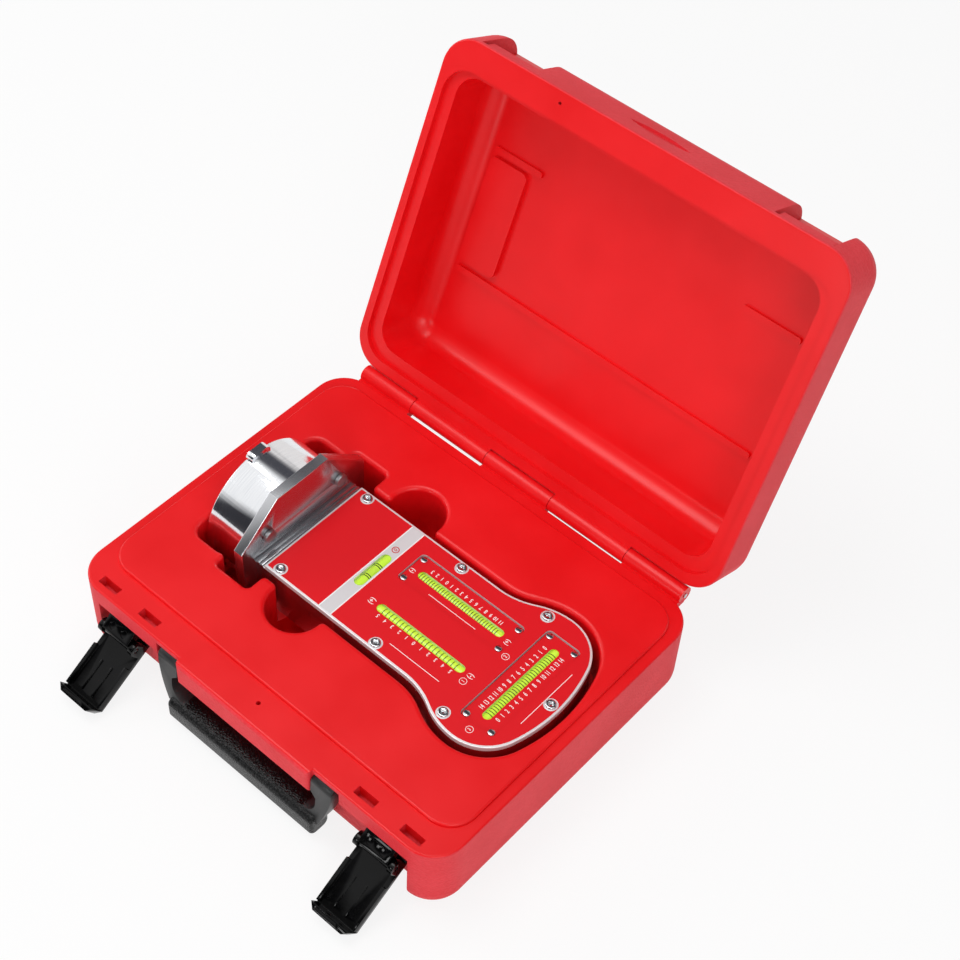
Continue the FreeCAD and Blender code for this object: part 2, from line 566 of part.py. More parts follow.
arm_in = val("lug_half") + val("handle_gap")
out, waist, grip_half = val("handle_out"), val("handle_mid"), val("handle_low")
bottom, grip_top, peg_z = val("handle_bottom"), val("grip_top"), val("handle_z")
top_z = peg_z + val("handle_round")
slim = arm_in + val("arm_step")
front_path = [(-out, top_z), (-out, peg_z - 3), (-waist, 28.0, -grip_half - 2, 11.0),
              (-grip_half + 1, 6.4, -grip_half + 8, bottom), (grip_half - 8, bottom),
              (grip_half - 1, 6.4, grip_half + 2, 11.0), (waist, 28.0, out, peg_z - 3),
              (out, top_z), (arm_in, top_z), (arm_in, peg_z - 6), (slim, peg_z - 10),
              (slim, 31.0), (slim - 3, 22.5, slim - 14, grip_top), (-slim + 14, grip_top),
              (-slim + 3, 22.5, -slim, 31.0), (-slim, peg_z - 10), (-arm_in, peg_z - 6),
              (-arm_in, top_z)]
peg_y, turn_radius = val("handle_in") - half_depth, val("handle_round")
side_path = [(peg_y + 4, peg_z), (peg_y, top_z, peg_y - turn_radius, peg_z),
             (peg_y - 6.4, 30.0), (peg_y - 7.6, 15.0), (peg_y - 6.4, bottom),
             (peg_y + 2.2, bottom), (peg_y + 3.2, 30.0)]
frame_front = prism("handle_front", "xz", front_path, "-handle_y - 15", "-handle_y + 10")
frame_side = prism("handle_side", "yz", side_path, "-handle_out - spare", "handle_out + spare")
common = doc.addObject("Part::Common", "handle_frame")
common.Base, common.Tool = frame_front, frame_side
common.Refine = True
grip = rounded("grip_long", box("grip_block", ("-grip_half", "grip_half"),
                                ("-handle_y - grip_front", "-handle_y + grip_back"),
                                ("grip_low", "grip_high")),
               val("grip_round"), lambda edge: edge.BoundBox.XLength > val("spare"))
doc.recompute()
grip = rounded("grip_bar", grip, val("grip_end"), lambda edge: edge.BoundBox.XLength < 1e-4)
pegs = [rod("peg_" + side, "peg_radius", "x", low, high, "-handle_y", "handle_z")
        for side, low, high in (("left", "-lug_half - spare", "-lug_half + peg_length"),
                                ("right", "lug_half - peg_length", "lug_half + spare"))]
node(fuse("handle_solid", common, grip, *pegs), "carry_handle")

# ---------------------------------------------------------------------------------------
# Latches. Link and lever are drawn closed about their own pivot, then swung open.

link_turn = FreeCAD.Rotation(FreeCAD.Vector(1, 0, 0), -val("link_swing"))
lever_turn = FreeCAD.Rotation(FreeCAD.Vector(1, 0, 0), val("lever_swing") - val("link_swing"))
pivot = FreeCAD.Vector(0, val("latch_in") - half_depth, val("latch_pivot_z"))
knee = pivot + link_turn.multVec(FreeCAD.Vector(0, 0, -val("link_length")))
for side, sign in (("left", "-"), ("right", "")):
    at = sign + "latch_x"
    wide = (at + " - link_half", at + " + link_half")
    stub = (at + " - lever_half + 0.2", at + " + lever_half - 0.2")
    plates = [
        rod("link_top_" + side, "barrel_radius", "x", *wide, "0", "0"),
        rod("link_low_" + side, "barrel_radius", "x", *wide, "0", "-link_length"),
        rod("link_stub_" + side, "stub_radius", "x", *stub, "0", "-link_length"),
        box("link_web_" + side, wide, ("-link_front", "link_thick / 2"),
            ("-link_length", "link_top"))]
    eye_slots = [box("link_slot_%s_%d" % (side, number),
                     ("%s + %s - cheek_gap" % (at, low), "%s + %s + cheek_gap" % (at, high)),
                     ("-link_front + link_cover", "link_front"),
                     ("-eye_radius - cheek_gap", "link_front"))
                 for number, (low, high) in enumerate((("(-eye_spot - eye_thick)", "(-eye_spot)"),
                                                       ("eye_spot", "eye_spot + eye_thick")))]
    dimples = [rod("link_dimple_%s_%d" % (side, number), "dimple_radius", "y",
                   "-link_front - spare", "-link_front + dimple_deep",
                   at + spot, "-link_length / 2")
               for number, spot in enumerate((" - dimple_spot", " + dimple_spot"))]
    link = fuse("link_solid_" + side,
                cut("link_slotted_" + side, fuse("link_body_" + side, *plates),
                    *eye_slots, *dimples),
                rod("link_pin_" + side, "stub_radius", "x", *wide, "0", "0"))
    node(link, "latch_link_" + side, FreeCAD.Placement(pivot, link_turn))

    back = "-lever_offset"
    face = "-lever_offset - lever_thick"
    full = (at + " - lever_half", at + " + lever_half")
    pieces = [
        box("lever_plate_" + side, full, (face, back), ("-lever_root", "lever_reach")),
        box("lever_claw_" + side, full, (back + " - spare", back + " + claw_deep"),
            ("lever_reach - claw_thick", "lever_reach"))]
    for edge, low, high in (("inner", "-lever_half", "-lever_half + 2"),
                            ("outer", "lever_half - 2", "lever_half")):
        pieces.append(box("lever_side_%s_%s" % (edge, side), ("%s + %s" % (at, low),
                                                             "%s + %s" % (at, high)),
                          (back + " - spare", back + " + lever_flange"),
                          ("lever_side_start", "lever_reach - claw_thick - spare")))
    for edge, low, high in (("inner", "-lever_half", "-link_half - cheek_gap"),
                            ("outer", "link_half + cheek_gap", "lever_half")):
        ends = ("%s + %s" % (at, low), "%s + %s" % (at, high))
        pieces.append(rod("lever_cheek_%s_%s" % (edge, side), "cheek_radius", "x", *ends,
                          "0", "0"))
        pieces.append(box("lever_arm_%s_%s" % (edge, side), ends,
                          (back + " - spare", "0"), ("-cheek_radius", "cheek_radius")))
    for number, spot in enumerate(("-4.5", "3.5")):
        pieces.append(box("lever_rib_%s_%d" % (side, number),
                          ("%s + %s" % (at, spot), "%s + %s + 1" % (at, spot)),
                          (back + " - spare", back + " + spare"),
                          ("lever_side_start + 5", "lever_reach - claw_thick - spare * 3")))
    groove = box("lever_groove_" + side, (at + " - dimple_spot * 2", at + " + dimple_spot"),
                 (back + " + claw_deep - groove_deep", back + " + claw_deep + spare"),
                 ("lever_reach - groove_wide * 2", "lever_reach - groove_wide"))
    reach, bevel = val("lever_reach"), val("claw_corner")
    corners = []
    for outward in (-1, 1):
        end = float(sign + "1") * val("latch_x") + outward * val("lever_half")
        corners.append(prism("lever_corner_%s_%d" % (side, outward + 1), "xz",
                             [(end - outward * (bevel + 1), reach + 1), (end + outward, reach + 1),
                              (end + outward, reach - bevel - 1)],
                             face + " - spare", "claw_deep"))
    bore = rod("lever_bore_" + side, "stub_radius + peg_play", "x", full[0] + " - spare",
               full[1] + " + spare", "0", "0")
    lever = cut("lever_solid_" + side, fuse("lever_body_" + side, *pieces), groove,
                *corners, bore)
    node(lever, "latch_lever_" + side, FreeCAD.Placement(knee, lever_turn))

# ---------------------------------------------------------------------------------------
# Tilting scale plates. Each set is drawn along X from its pivot pin and then placed:
# the castor set lies along the gauge, the kingpin set across it.

skin_under = "plate_top - plate_thick"
sets = {
    "castor": (FreeCAD.Placement(FreeCAD.Vector(-val("castor_x"), mid + val("castor_y"), 0),
                                 FreeCAD.Rotation()),
               "castor_long", "castor_wide"),
    "kingpin": (FreeCAD.Placement(FreeCAD.Vector(val("kingpin_x"), mid - val("kingpin_y"), 0),
                                  FreeCAD.Rotation(FreeCAD.Vector(0, 0, 1), 90)),
                "kingpin_long", "kingpin_wide"),
}
scale_top = "plate_top - scale_drop"
cradle_top = "plate_top - scale_drop - scale_thick"
cradle_low = "plate_top - scale_drop - cradle_deep"
vial_z = "plate_top - scale_drop - scale_thick - vial_radius - 0.3"
stage_posts, windows, adjuster_holes = [], [], []
slot_low, slot_high = skin_under + " - spare", "plate_top + label_thick + spare"


def round_slot(name, axis, low, high, across, half):
    """A slot with round ends, cut down through the face."""
    first, last = "%s + (%s)" % (low, half), "%s - (%s)" % (high, half)
    x, y = (first, last), ("%s - (%s)" % (across, half), "%s + (%s)" % (across, half))
    ends = [(first, across), (last, across)]
    if axis == "y":
        x, y = y, x
        ends = [end[::-1] for end in ends]
    return fuse(name, box(name + "_run", x, y, (slot_low, slot_high)),
                *[rod("%s_end_%d" % (name, number), half, "z", slot_low, slot_high, *end,
                      seam=180 - 180 * number) for number, end in enumerate(ends)])


for which, (place, length, width) in sets.items():
    inside = ("tilt_gap", length + " - tilt_gap")
    across = ("-%s / 2 + tilt_gap" % width, width + " / 2 - tilt_gap")
    corner = val("window_round") - val("tilt_gap")
    cradle = fuse(
        which + "_cradle_body",
        rounded_box(which + "_cradle", inside, across, (cradle_low, cradle_top), corner),
        box(which + "_pivot_lug", ("tilt_gap", "tilt_pin_in * 2"),
            ("-tilt_lug_half", "tilt_lug_half"), ("tilt_pin_z - tilt_lug_half", cradle_low)),
        box(which + "_nut_lug", ("tilt_pin_in + tilt_arm - tilt_lug_half",
                                 "tilt_pin_in + tilt_arm + tilt_lug_half"),
            ("-tilt_lug_half", "tilt_lug_half"),
            ("tilt_pin_z - tilt_lug_half / 2", cradle_low)))
    trough = box(which + "_trough", ("tilt_pin_in", length + " - tilt_pin_in"),
                 ("-vial_radius", "vial_radius"), (vial_z, cradle_top + " + spare"))
    bed = rod(which + "_bed", "vial_radius", "x", "tilt_pin_in", length + " - tilt_pin_in",
              "0", vial_z)
    pin_bore = rod(which + "_pin_bore", "tilt_pin_radius + tilt_play", "y",
                   "-tilt_lug_half - spare", "tilt_lug_half + spare", "tilt_pin_in",
                   "tilt_pin_z")
    nut_bore = rod(which + "_nut_bore", "adjuster_shank + tilt_play", "z",
                   "tilt_pin_z - tilt_lug_half", "tilt_pin_z + 4.0",
                   "tilt_pin_in + tilt_arm", "0")
    corners = [("%s_corner_%d" % (which, number), x, y) for number, (x, y) in enumerate(
        (("scale_screw_inset", "-%s / 2 + scale_screw_inset" % width),
         ("scale_screw_inset", width + " / 2 - scale_screw_inset"),
         (length + " - scale_screw_inset", "-%s / 2 + scale_screw_inset" % width),
         (length + " - scale_screw_inset", width + " / 2 - scale_screw_inset")))]
    taps = [rod(name + "_tap", "scale_screw_shank", "z", cradle_top + " - 5",
                scale_top + " + spare", x, y) for name, x, y in corners]
    node(cut(which + "_cradle_solid", cradle, trough, bed, pin_bore, nut_bore, *taps),
         which + "_cradle", place)

    plate = rounded_box(which + "_scale", inside, across, (cradle_top, scale_top), corner)
    sight = round_slot(which + "_sight", "x", "tilt_pin_in + 3", length + " - tilt_pin_in - 3",
                       "0", "slot_half")
    holes = [rod(name + "_hole", "scale_screw_shank", "z", cradle_top + " - spare",
                 scale_top + " + spare", x, y) for name, x, y in corners]
    node(cut(which + "_scale_solid", plate, sight, *holes), which + "_scale", place)
    screws = [fuse(name + "_screw",
                   rod(name + "_head", "scale_screw_head", "z", scale_top, scale_top + " + 0.7",
                       x, y),
                   rod(name + "_shank", "scale_screw_shank", "z", cradle_top + " - 4.5",
                       scale_top + " + 0.2", x, y)) for name, x, y in corners]
    node(group(which + "_screw_group", screws), which + "_scale_screws", place)

    ends = ("tilt_pin_in", length + " - tilt_pin_in")
    tube = cut(which + "_tube", rod(which + "_glass", "vial_radius", "x", *ends, "0", vial_z),
               rod(which + "_bore", "vial_radius - vial_wall", "x", ends[0] + " + vial_wall * 2",
                   ends[1] + " - vial_wall * 2", "0", vial_z))
    node(tube, which + "_vial", place)
    fluid = rod(which + "_fill", "vial_radius - vial_wall", "x", ends[0] + " + vial_wall * 2",
                ends[1] + " - vial_wall * 2", "0", vial_z)
    node(group(which + "_fluid_set", [fluid]), which + "_fluid", place)
    pin = rod(which + "_pin_rod", "tilt_pin_radius", "y", "-tilt_pin_half", "tilt_pin_half",
              "tilt_pin_in", "tilt_pin_z")
    node(group(which + "_pin_set", [pin]), which + "_pivot_pin", place)

    # thumb screw under the body: knurled head, shank into the cradle and a keeper ring
    spot = ("tilt_pin_in + tilt_arm", "0")
    flutes = [rod("%s_flute_%d" % (which, number), "0.7", "z",
                  "gauge_floor - adjuster_gap - adjuster_drop - spare",
                  "gauge_floor - adjuster_gap + spare",
                  spot[0] + " + adjuster_head * cos(%d)" % (number * 20),
                  "adjuster_head * sin(%d)" % (number * 20)) for number in range(18)]
    knob = cut(which + "_knob_head", rod(which + "_knob_disc", "adjuster_head", "z",
                                         "gauge_floor - adjuster_gap - adjuster_drop",
                                         "gauge_floor - adjuster_gap", *spot), *flutes)
    node(fuse(which + "_knob_solid", knob,
              rod(which + "_knob_shank", "adjuster_shank", "z",
                  "gauge_floor - adjuster_gap - spare", "tilt_pin_z + 2.0", *spot),
              rod(which + "_knob_ring", "adjuster_shank * 1.7", "z",
                  "gauge_floor + body_floor + adjuster_gap / 2",
                  "gauge_floor + body_floor + adjuster_gap / 2 + 2", *spot)),
         which + "_adjuster", place)

    posts = []
    for side, low, high in (("near", "-tilt_pin_half", "-tilt_lug_half - 0.4"),
                            ("far", "tilt_lug_half + 0.4", "tilt_pin_half")):
        posts.append(box("%s_post_%s" % (which, side), ("tilt_gap", "tilt_pin_in * 2 - 0.5"),
                         (low, high), ("gauge_floor + body_floor - spare",
                                       "tilt_pin_z + 2.8")))
    post_bore = rod(which + "_post_bore", "tilt_pin_radius", "y", "-tilt_pin_half - spare",
                    "tilt_pin_half + spare", "tilt_pin_in", "tilt_pin_z")
    posts = cut(which + "_posts", fuse(which + "_post_pair", *posts), post_bore)
    posts.Placement = place
    stage_posts.append(posts)
    window = group(which + "_window",
                   [rounded_box(which + "_window_edge", ("0", length),
                                ("-%s / 2" % width, width + " / 2"), (slot_low, slot_high),
                                val("window_round"))])
    hole = group(which + "_adjuster_hole",
                 [rod(which + "_adjuster_bore", "adjuster_shank + tilt_play", "z",
                      "gauge_floor - spare", "gauge_floor + body_floor + spare", *spot)])
    for tool, store in ((window, windows), (hole, adjuster_holes)):
        tool.Placement = place
        store.append(tool)

# ---------------------------------------------------------------------------------------
# Gauge body: a cast tub with screw bosses, the end flange for the magnet and the posts of
# the tilting cradles.

SCREWS = [("-51.5", "-34.3"), ("-51.5", "34.3"), ("20.3", "-34.4"), ("20.3", "34.4"),
          ("76", "-42"), ("76", "42"), ("113.8", "0")]
tub = plate_prism("body_block", 0.0, val("plate_start"), "gauge_floor", skin_under)
tub_hollow = plate_prism("body_cavity", -val("body_wall"),
                         val("plate_start") - val("body_wall"),
                         "gauge_floor + body_floor", skin_under + " + spare")
bosses = [rod("boss_%d" % number, "4", "z", "gauge_floor + body_floor - spare",
              skin_under, x, "gauge_y + " + y) for number, (x, y) in enumerate(SCREWS)]
boss_trim = plate_prism("boss_trim", -0.3, val("plate_start") - 0.3, "gauge_floor",
                        skin_under)
boss_solids = doc.addObject("Part::Common", "boss_solids")
boss_solids.Base = group("boss_group", bosses)
boss_solids.Tool = boss_trim
z_of = {word: val(word) for word in ("flange_top", "flange_shoulder", "flange_low_shoulder",
                                     "flange_bottom")}
flange_path = []
for sign in (1, -1):
    corner = [(mid + sign * val("flange_top_half"), z_of["flange_top"]),
              (mid + sign * val("flange_half"), z_of["flange_shoulder"]),
              (mid + sign * val("flange_half"), z_of["flange_low_shoulder"]),
              (mid + sign * val("flange_foot_half"), z_of["flange_bottom"])]
    flange_path += corner if sign > 0 else corner[::-1]
flange = rounded("end_flange_edged",
                 prism("end_flange", "yz", flange_path, "-flange_front", "-flange_back"),
                 val("metal_edge"), lambda edge: edge.BoundBox.XLength < 1e-4)
step = [box("end_step", ("-flange_back - spare / 2", "-plate_start"),
            ("gauge_y - plate_half", "gauge_y + plate_half"),
            ("gauge_floor", "plate_top - step_height"))]
for number in range(2):
    step.append(box("end_ridge_%d" % number,
                    ("-flange_back + %s" % (1.6 + 2.6 * number),
                     "-flange_back + %s + ridge" % (1.6 + 2.6 * number)),
                    ("gauge_y - plate_half", "gauge_y + plate_half"),
                    ("plate_top - step_height - spare", "plate_top - step_height + ridge")))
angle = val("drum_screw_angle")
DRUM_SCREWS = [(str(sign * angle), lift) for sign in (-1, 1) for lift in ("", "-")]
drum_screw_at = [("gauge_y + drum_screw_circle * sin(%s)" % turn,
                  "drum_z + %sdrum_screw_circle * cos(%s)" % (lift, turn))
                 for turn, lift in DRUM_SCREWS]
flange_holes = [rod("flange_hole_%d" % number, "drum_screw_shank", "x",
                    "-flange_front - spare", "-flange_back + spare", y, z)
                for number, (y, z) in enumerate(drum_screw_at)]
flange_holes.append(rod("flange_centre", "plunger_stem + 0.6", "x", "-flange_front - spare",
                        "-flange_back + spare", "gauge_y", "drum_z"))
screw_taps = [rod("screw_tap_%d" % number, "face_shank", "z",
                  "plate_top - face_depth - spare", skin_under + " + spare", x, "gauge_y + " + y)
              for number, (x, y) in enumerate(SCREWS)]
node(cut("gauge_body_solid", fuse("gauge_body_pieces", cut("tub", tub, tub_hollow), flange,
                                  *step, boss_solids, *stage_posts),
         *flange_holes, *screw_taps, *adjuster_holes), "gauge_body")

# Face plate with its windows, and the thin printed sheet on it.
camber_ends = ("camber_x", "camber_x + camber_long")
sights = [round_slot("camber_slot", "x", *camber_ends, "gauge_y - camber_y", "slot_half"),
          round_slot("level_slot_cut", "y", "gauge_y - level_slot / 2",
                     "gauge_y + level_slot / 2", "-level_x", "level_slot_half")]

# The two fixed vials reach up through beds in the plate, to just under the printed sheet.
FIXED = (("camber", "x", ("camber_x - 1", "camber_x + camber_long + 1"),
          "gauge_y - camber_y"),
         ("level", "y", ("gauge_y - level_long / 2", "gauge_y + level_long / 2"), "-level_x"))
beds = []
for which, axis, ends, across in FIXED:
    along = ("%s - vial_gap" % ends[0], "%s + vial_gap" % ends[1])
    beside = ("%s - vial_radius - vial_gap" % across, "%s + vial_radius + vial_gap" % across)
    sides = (along, beside) if axis == "x" else (beside, along)
    beds.append(box(which + "_plate_bed", *sides, (slot_low, "plate_top + spare")))
plate_holes = [rod("plate_hole_%d" % number, "face_shank + 0.1", "z", slot_low,
                   "plate_top + spare", x, "gauge_y + " + y)
               for number, (x, y) in enumerate(SCREWS)]
plate = rounded("face_plate_edged",
                plate_prism("face_plate_block", 0.0, val("plate_start"), skin_under, "plate_top"),
                val("plate_edge"), lying_at(val("plate_top")))
node(cut("face_plate_solid", plate, *windows, *beds, *plate_holes), "face_plate")
border = val("label_border")
label = plate_prism("face_label_block", -border, val("plate_start") - border, "plate_top",
                    "plate_top + label_thick")
label_cutouts = [rod("label_cutout_%d" % number, "label_cutout", "z", "plate_top - spare",
                     slot_high, x, "gauge_y + " + y) for number, (x, y) in enumerate(SCREWS)]
node(cut("face_label_solid", label, *windows, *sights, *label_cutouts), "face_label")

face_screws = []
for number, (x, y) in enumerate(SCREWS):
    y = "gauge_y + " + y
    name = "face_screw_%d" % number
    head = fuse(name + "_body",
                rounded(name + "_dome", rod(name + "_head", "face_head_radius", "z",
                                            "plate_top", "plate_top + face_head_high", x, y),
                        val("head_round"), lying_at(val("plate_top") + val("face_head_high"))),
                rod(name + "_shank", "face_shank", "z", "plate_top - face_depth",
                    "plate_top + 0.2", x, y))
    crosses = [box("%s_cross_%d" % (name, turn), ("%s - %s" % (x, wide), "%s + %s" % (x, wide)),
                   ("%s - %s" % (y, deep), "%s + %s" % (y, deep)),
                   ("plate_top + face_head_high - 0.8", "plate_top + face_head_high + spare"))
               for turn, (wide, deep) in enumerate(((1.9, 0.4), (0.4, 1.9)))]
    face_screws.append(cut(name, head, *crosses))
node(group("face_screw_group", face_screws), "face_screws")

# The two fixed vials sit in white blocks under the face plate.
deep_z = "plate_top - vial_sunk - vial_radius"
for which, axis, ends, across in FIXED:
    long_way = ("%s - 1.5" % ends[0], "%s + 1.5" % ends[1])
    wide_way = ("%s - vial_radius - 1.6" % across, "%s + vial_radius + 1.6" % across)
    trough_way = ("%s - vial_radius" % across, "%s + vial_radius" % across)
    order = (lambda one, two: (one, two)) if axis == "x" else (lambda one, two: (two, one))
    holder = box(which + "_holder_block", *order(long_way, wide_way),
                 (deep_z + " - vial_radius - 1.5", skin_under))
    trough = box(which + "_trough", *order(ends, trough_way), (deep_z, skin_under + " + spare"))
    bed = rod(which + "_bed", "vial_radius", axis, *ends, across, deep_z)
    node(cut(which + "_holder_solid", holder, trough, bed), which + "_holder")
    inside = (ends[0] + " + vial_wall * 2", ends[1] + " - vial_wall * 2")
    node(cut(which + "_tube", rod(which + "_glass", "vial_radius", axis, *ends, across, deep_z),
             rod(which + "_bore", "vial_radius - vial_wall", axis, *inside, across, deep_z)),
         which + "_vial")
    node(rod(which + "_fill", "vial_radius - vial_wall", axis, *inside, across, deep_z),
         which + "_fluid")

# ---------------------------------------------------------------------------------------
# Magnetic drum: a steel cup with three lugs, a ring magnet, a centre pole, and a sprung
# centring plunger in the pole's bore.

drum_middle = FreeCAD.Vector(0, mid, val("drum_z"))
lug_top = val("drum_z") + val("drum_radius") + val("drum_lug_proud")
drum_lugs = []
for number in range(3):
    name = "drum_lug_%d" % number
    lug = rounded(name, box(name + "_bar", ("-drum_face", "-drum_face + drum_lug_long"),
                            ("gauge_y - drum_lug_half", "gauge_y + drum_lug_half"),
                            ("drum_z + drum_radius - drum_lug_root", lug_top)),
                  val("drum_lug_round"),
                  lambda edge: (edge.BoundBox.YLength < 1e-4
                                and edge.BoundBox.ZMin > lug_top - 1e-3))
    lug.Placement = FreeCAD.Placement(
        FreeCAD.Vector(), FreeCAD.Rotation(FreeCAD.Vector(1, 0, 0), 120 * number), drum_middle)
    drum_lugs.append(lug)
cup = rounded("cup_edged", rod("cup_block", "drum_radius", "x", "-drum_face", "-flange_front",
                               "gauge_y", "drum_z"), val("metal_edge"),
              lambda edge: edge.BoundBox.XLength < 1e-4)
cup = fuse("cup_with_lugs", cup, *drum_lugs)
cup_bore = rod("cup_bore", "magnet_outer", "x", "-drum_face - spare",
               "-flange_front - cup_back", "gauge_y", "drum_z")
cup_centre = rod("cup_centre", "plunger_stem + plunger_play", "x",
                 "-flange_front - cup_back - spare", "-flange_front + spare",
                 "gauge_y", "drum_z")
cup_taps = [rod("cup_tap_%d" % number, "drum_screw_shank", "x", "-flange_front - 12",
                "-flange_front + spare", y, z) for number, (y, z) in enumerate(drum_screw_at)]
node(cut("magnet_cup_solid", cup, cup_bore, cup_centre, *cup_taps), "magnet_cup")

ring = cut("ring_magnet_solid",
           rod("ring_block", "magnet_outer", "x", "-drum_face + magnet_recess",
               "-flange_front - cup_back", "gauge_y", "drum_z"),
           rod("ring_bore", "pole_outer", "x", "-drum_face - spare", "-flange_front",
               "gauge_y", "drum_z"))
node(ring, "ring_magnet")
pole = cut("pole_solid",
           rod("pole_block", "pole_outer", "x", "-drum_face", "-flange_front - cup_back",
               "gauge_y", "drum_z"),
           rod("pole_bore", "plunger_radius + plunger_play", "x", "-drum_face - spare",
               "-drum_face + pole_front + spare", "gauge_y", "drum_z"),
           rod("pole_chamber", "chamber_radius", "x", "-drum_face + pole_front",
               "-flange_front - cup_back + spare", "gauge_y", "drum_z"))
node(pole, "centre_pole")

nose = "-drum_face - plunger_nose"
collar = "-drum_face + pole_front + 0.1"
# the bar tapers towards -X, so its cone is drawn with the small end first
cone = doc.addObject("Part::Cone", "plunger_cone_tip")
bind(cone, "Radius1", "plunger_radius - plunger_cone")
bind(cone, "Radius2", "plunger_radius")
bind(cone, "Height", "plunger_cone")
cone.Placement.Rotation = ALONG["x"]
bind(cone, "Placement.Base.x", nose)
bind(cone, "Placement.Base.y", "gauge_y")
bind(cone, "Placement.Base.z", "drum_z")
node(fuse("plunger_solid", cone,
          rod("plunger_bar", "plunger_radius", "x", nose + " + plunger_cone", collar + " + 1",
              "gauge_y", "drum_z"),
          rod("plunger_collar_disc", "plunger_collar", "x", collar, collar + " + 2.5",
              "gauge_y", "drum_z"),
          rod("plunger_stem_bar", "plunger_stem", "x", collar + " + 2",
              "-flange_front - cup_back + 2", "gauge_y", "drum_z")), "centring_plunger")

coil_start = val("pole_front") - val("drum_face") + 0.1 + 2.5 + val("spring_wire") + 0.02
coil_end = -val("flange_front") - val("cup_back") - val("spring_wire") - 0.02
coil = doc.addObject("Part::Helix", "spring_path")
coil.Pitch = (coil_end - coil_start) / val("spring_turns")
coil.Height = coil_end - coil_start
coil.SegmentLength = 1.0
coil.Placement = FreeCAD.Placement(FreeCAD.Vector(coil_start, mid, val("drum_z")), ALONG["x"])
bind(coil, "Radius", "spring_radius")
wire = doc.addObject("Part::Circle", "spring_wire_round")
bind(wire, "Radius", "spring_wire")
wire.Placement = FreeCAD.Placement(
    FreeCAD.Vector(coil_start, mid, val("drum_z"))
    + ALONG["x"].multVec(FreeCAD.Vector(val("spring_radius"), 0, 0)),
    FreeCAD.Rotation(FreeCAD.Vector(0, 0, 1), ALONG["x"].multVec(FreeCAD.Vector(0, 1, 0))))
sweep = doc.addObject("Part::Sweep", "spring_solid")
sweep.Sections = [wire]
sweep.Spine = (coil, [])
sweep.Solid = True
sweep.Frenet = True
node(sweep, "plunger_spring")

drum_screws = []
for number, (y, z) in enumerate(drum_screw_at):
    name = "drum_screw_%d" % number
    drum_screws.append(fuse(
        name,
        rod(name + "_head", "drum_screw_head", "x", "-flange_back", "-flange_back + 2.4", y, z),
        rod(name + "_shank", "drum_screw_shank", "x", "-flange_front - 10",
            "-flange_back + 0.2", y, z)))
node(group("drum_screw_group", drum_screws), "drum_screws")

# ---------------------------------------------------------------------------------------
# Check every object, then write one file for each sub-part.

doc.recompute()
for item in doc.Objects:
    broken = [word for word in item.State if word in ("Invalid", "Error")]
    if broken:
        raise RuntimeError("%s is %s" % (item.Label, broken))
    if hasattr(item, "Shape") and not item.isDerivedFrom("Sketcher::SketchObject"):
        if item.Shape.isNull() or not item.Shape.isValid():
            raise RuntimeError("%s has a null or invalid shape" % item.Label)
for name in node_names:
    shape = item_of[name].Shape
    if not shape.Solids:
        raise RuntimeError("%s holds no solid" % name)
    shape.exportStep("parts/%s.step" % name)
    print(name, len(shape.Solids), round(shape.Volume / 1000.0, 2), "cm3")
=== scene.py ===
import json
import math
import bpy
from mathutils import Matrix, Vector

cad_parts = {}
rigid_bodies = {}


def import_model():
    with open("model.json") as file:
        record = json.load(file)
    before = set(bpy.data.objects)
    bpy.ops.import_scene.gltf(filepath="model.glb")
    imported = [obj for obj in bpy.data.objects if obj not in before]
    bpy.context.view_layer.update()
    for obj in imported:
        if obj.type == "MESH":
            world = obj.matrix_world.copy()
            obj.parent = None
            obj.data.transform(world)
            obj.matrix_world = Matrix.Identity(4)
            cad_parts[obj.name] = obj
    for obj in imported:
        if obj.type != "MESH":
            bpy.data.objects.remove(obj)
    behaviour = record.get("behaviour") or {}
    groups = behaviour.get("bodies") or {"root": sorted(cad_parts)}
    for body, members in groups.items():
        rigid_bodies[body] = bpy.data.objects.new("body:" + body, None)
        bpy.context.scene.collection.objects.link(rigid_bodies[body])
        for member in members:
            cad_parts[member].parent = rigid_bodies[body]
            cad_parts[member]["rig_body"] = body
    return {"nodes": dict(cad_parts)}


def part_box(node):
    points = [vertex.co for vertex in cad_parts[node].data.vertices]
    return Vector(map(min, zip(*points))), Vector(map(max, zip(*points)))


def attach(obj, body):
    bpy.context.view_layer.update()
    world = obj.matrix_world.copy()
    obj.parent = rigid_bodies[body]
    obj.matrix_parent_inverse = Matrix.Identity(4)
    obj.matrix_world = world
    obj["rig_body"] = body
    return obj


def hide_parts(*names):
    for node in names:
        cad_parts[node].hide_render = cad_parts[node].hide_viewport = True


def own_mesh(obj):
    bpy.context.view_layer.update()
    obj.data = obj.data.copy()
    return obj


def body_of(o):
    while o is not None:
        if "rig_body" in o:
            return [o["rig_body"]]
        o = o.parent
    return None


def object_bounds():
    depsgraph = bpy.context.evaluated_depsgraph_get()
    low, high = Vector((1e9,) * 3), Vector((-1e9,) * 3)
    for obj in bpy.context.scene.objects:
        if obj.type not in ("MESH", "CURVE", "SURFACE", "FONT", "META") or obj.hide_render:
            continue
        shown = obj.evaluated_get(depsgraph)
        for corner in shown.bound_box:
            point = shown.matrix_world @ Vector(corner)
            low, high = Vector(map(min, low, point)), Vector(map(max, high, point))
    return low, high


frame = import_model()
solid_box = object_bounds()
cad = frame["nodes"]


# ---- Case: base and lid -------------------------------------------------------------------
# Two halves of a double-skinned carrying case, blow-moulded in signal red high-density
# polyethylene. The mould is polished where the halves face each other and grained outside.

def linear(code):
    """A written sRGB colour such as ED2026 as the linear values that a shader takes."""
    values = [int(code[place:place + 2], 16) / 255 for place in (0, 2, 4)]
    return tuple(v / 12.92 if v <= 0.04045 else ((v + 0.055) / 1.055) ** 2.4
                 for v in values) + (1.0,)


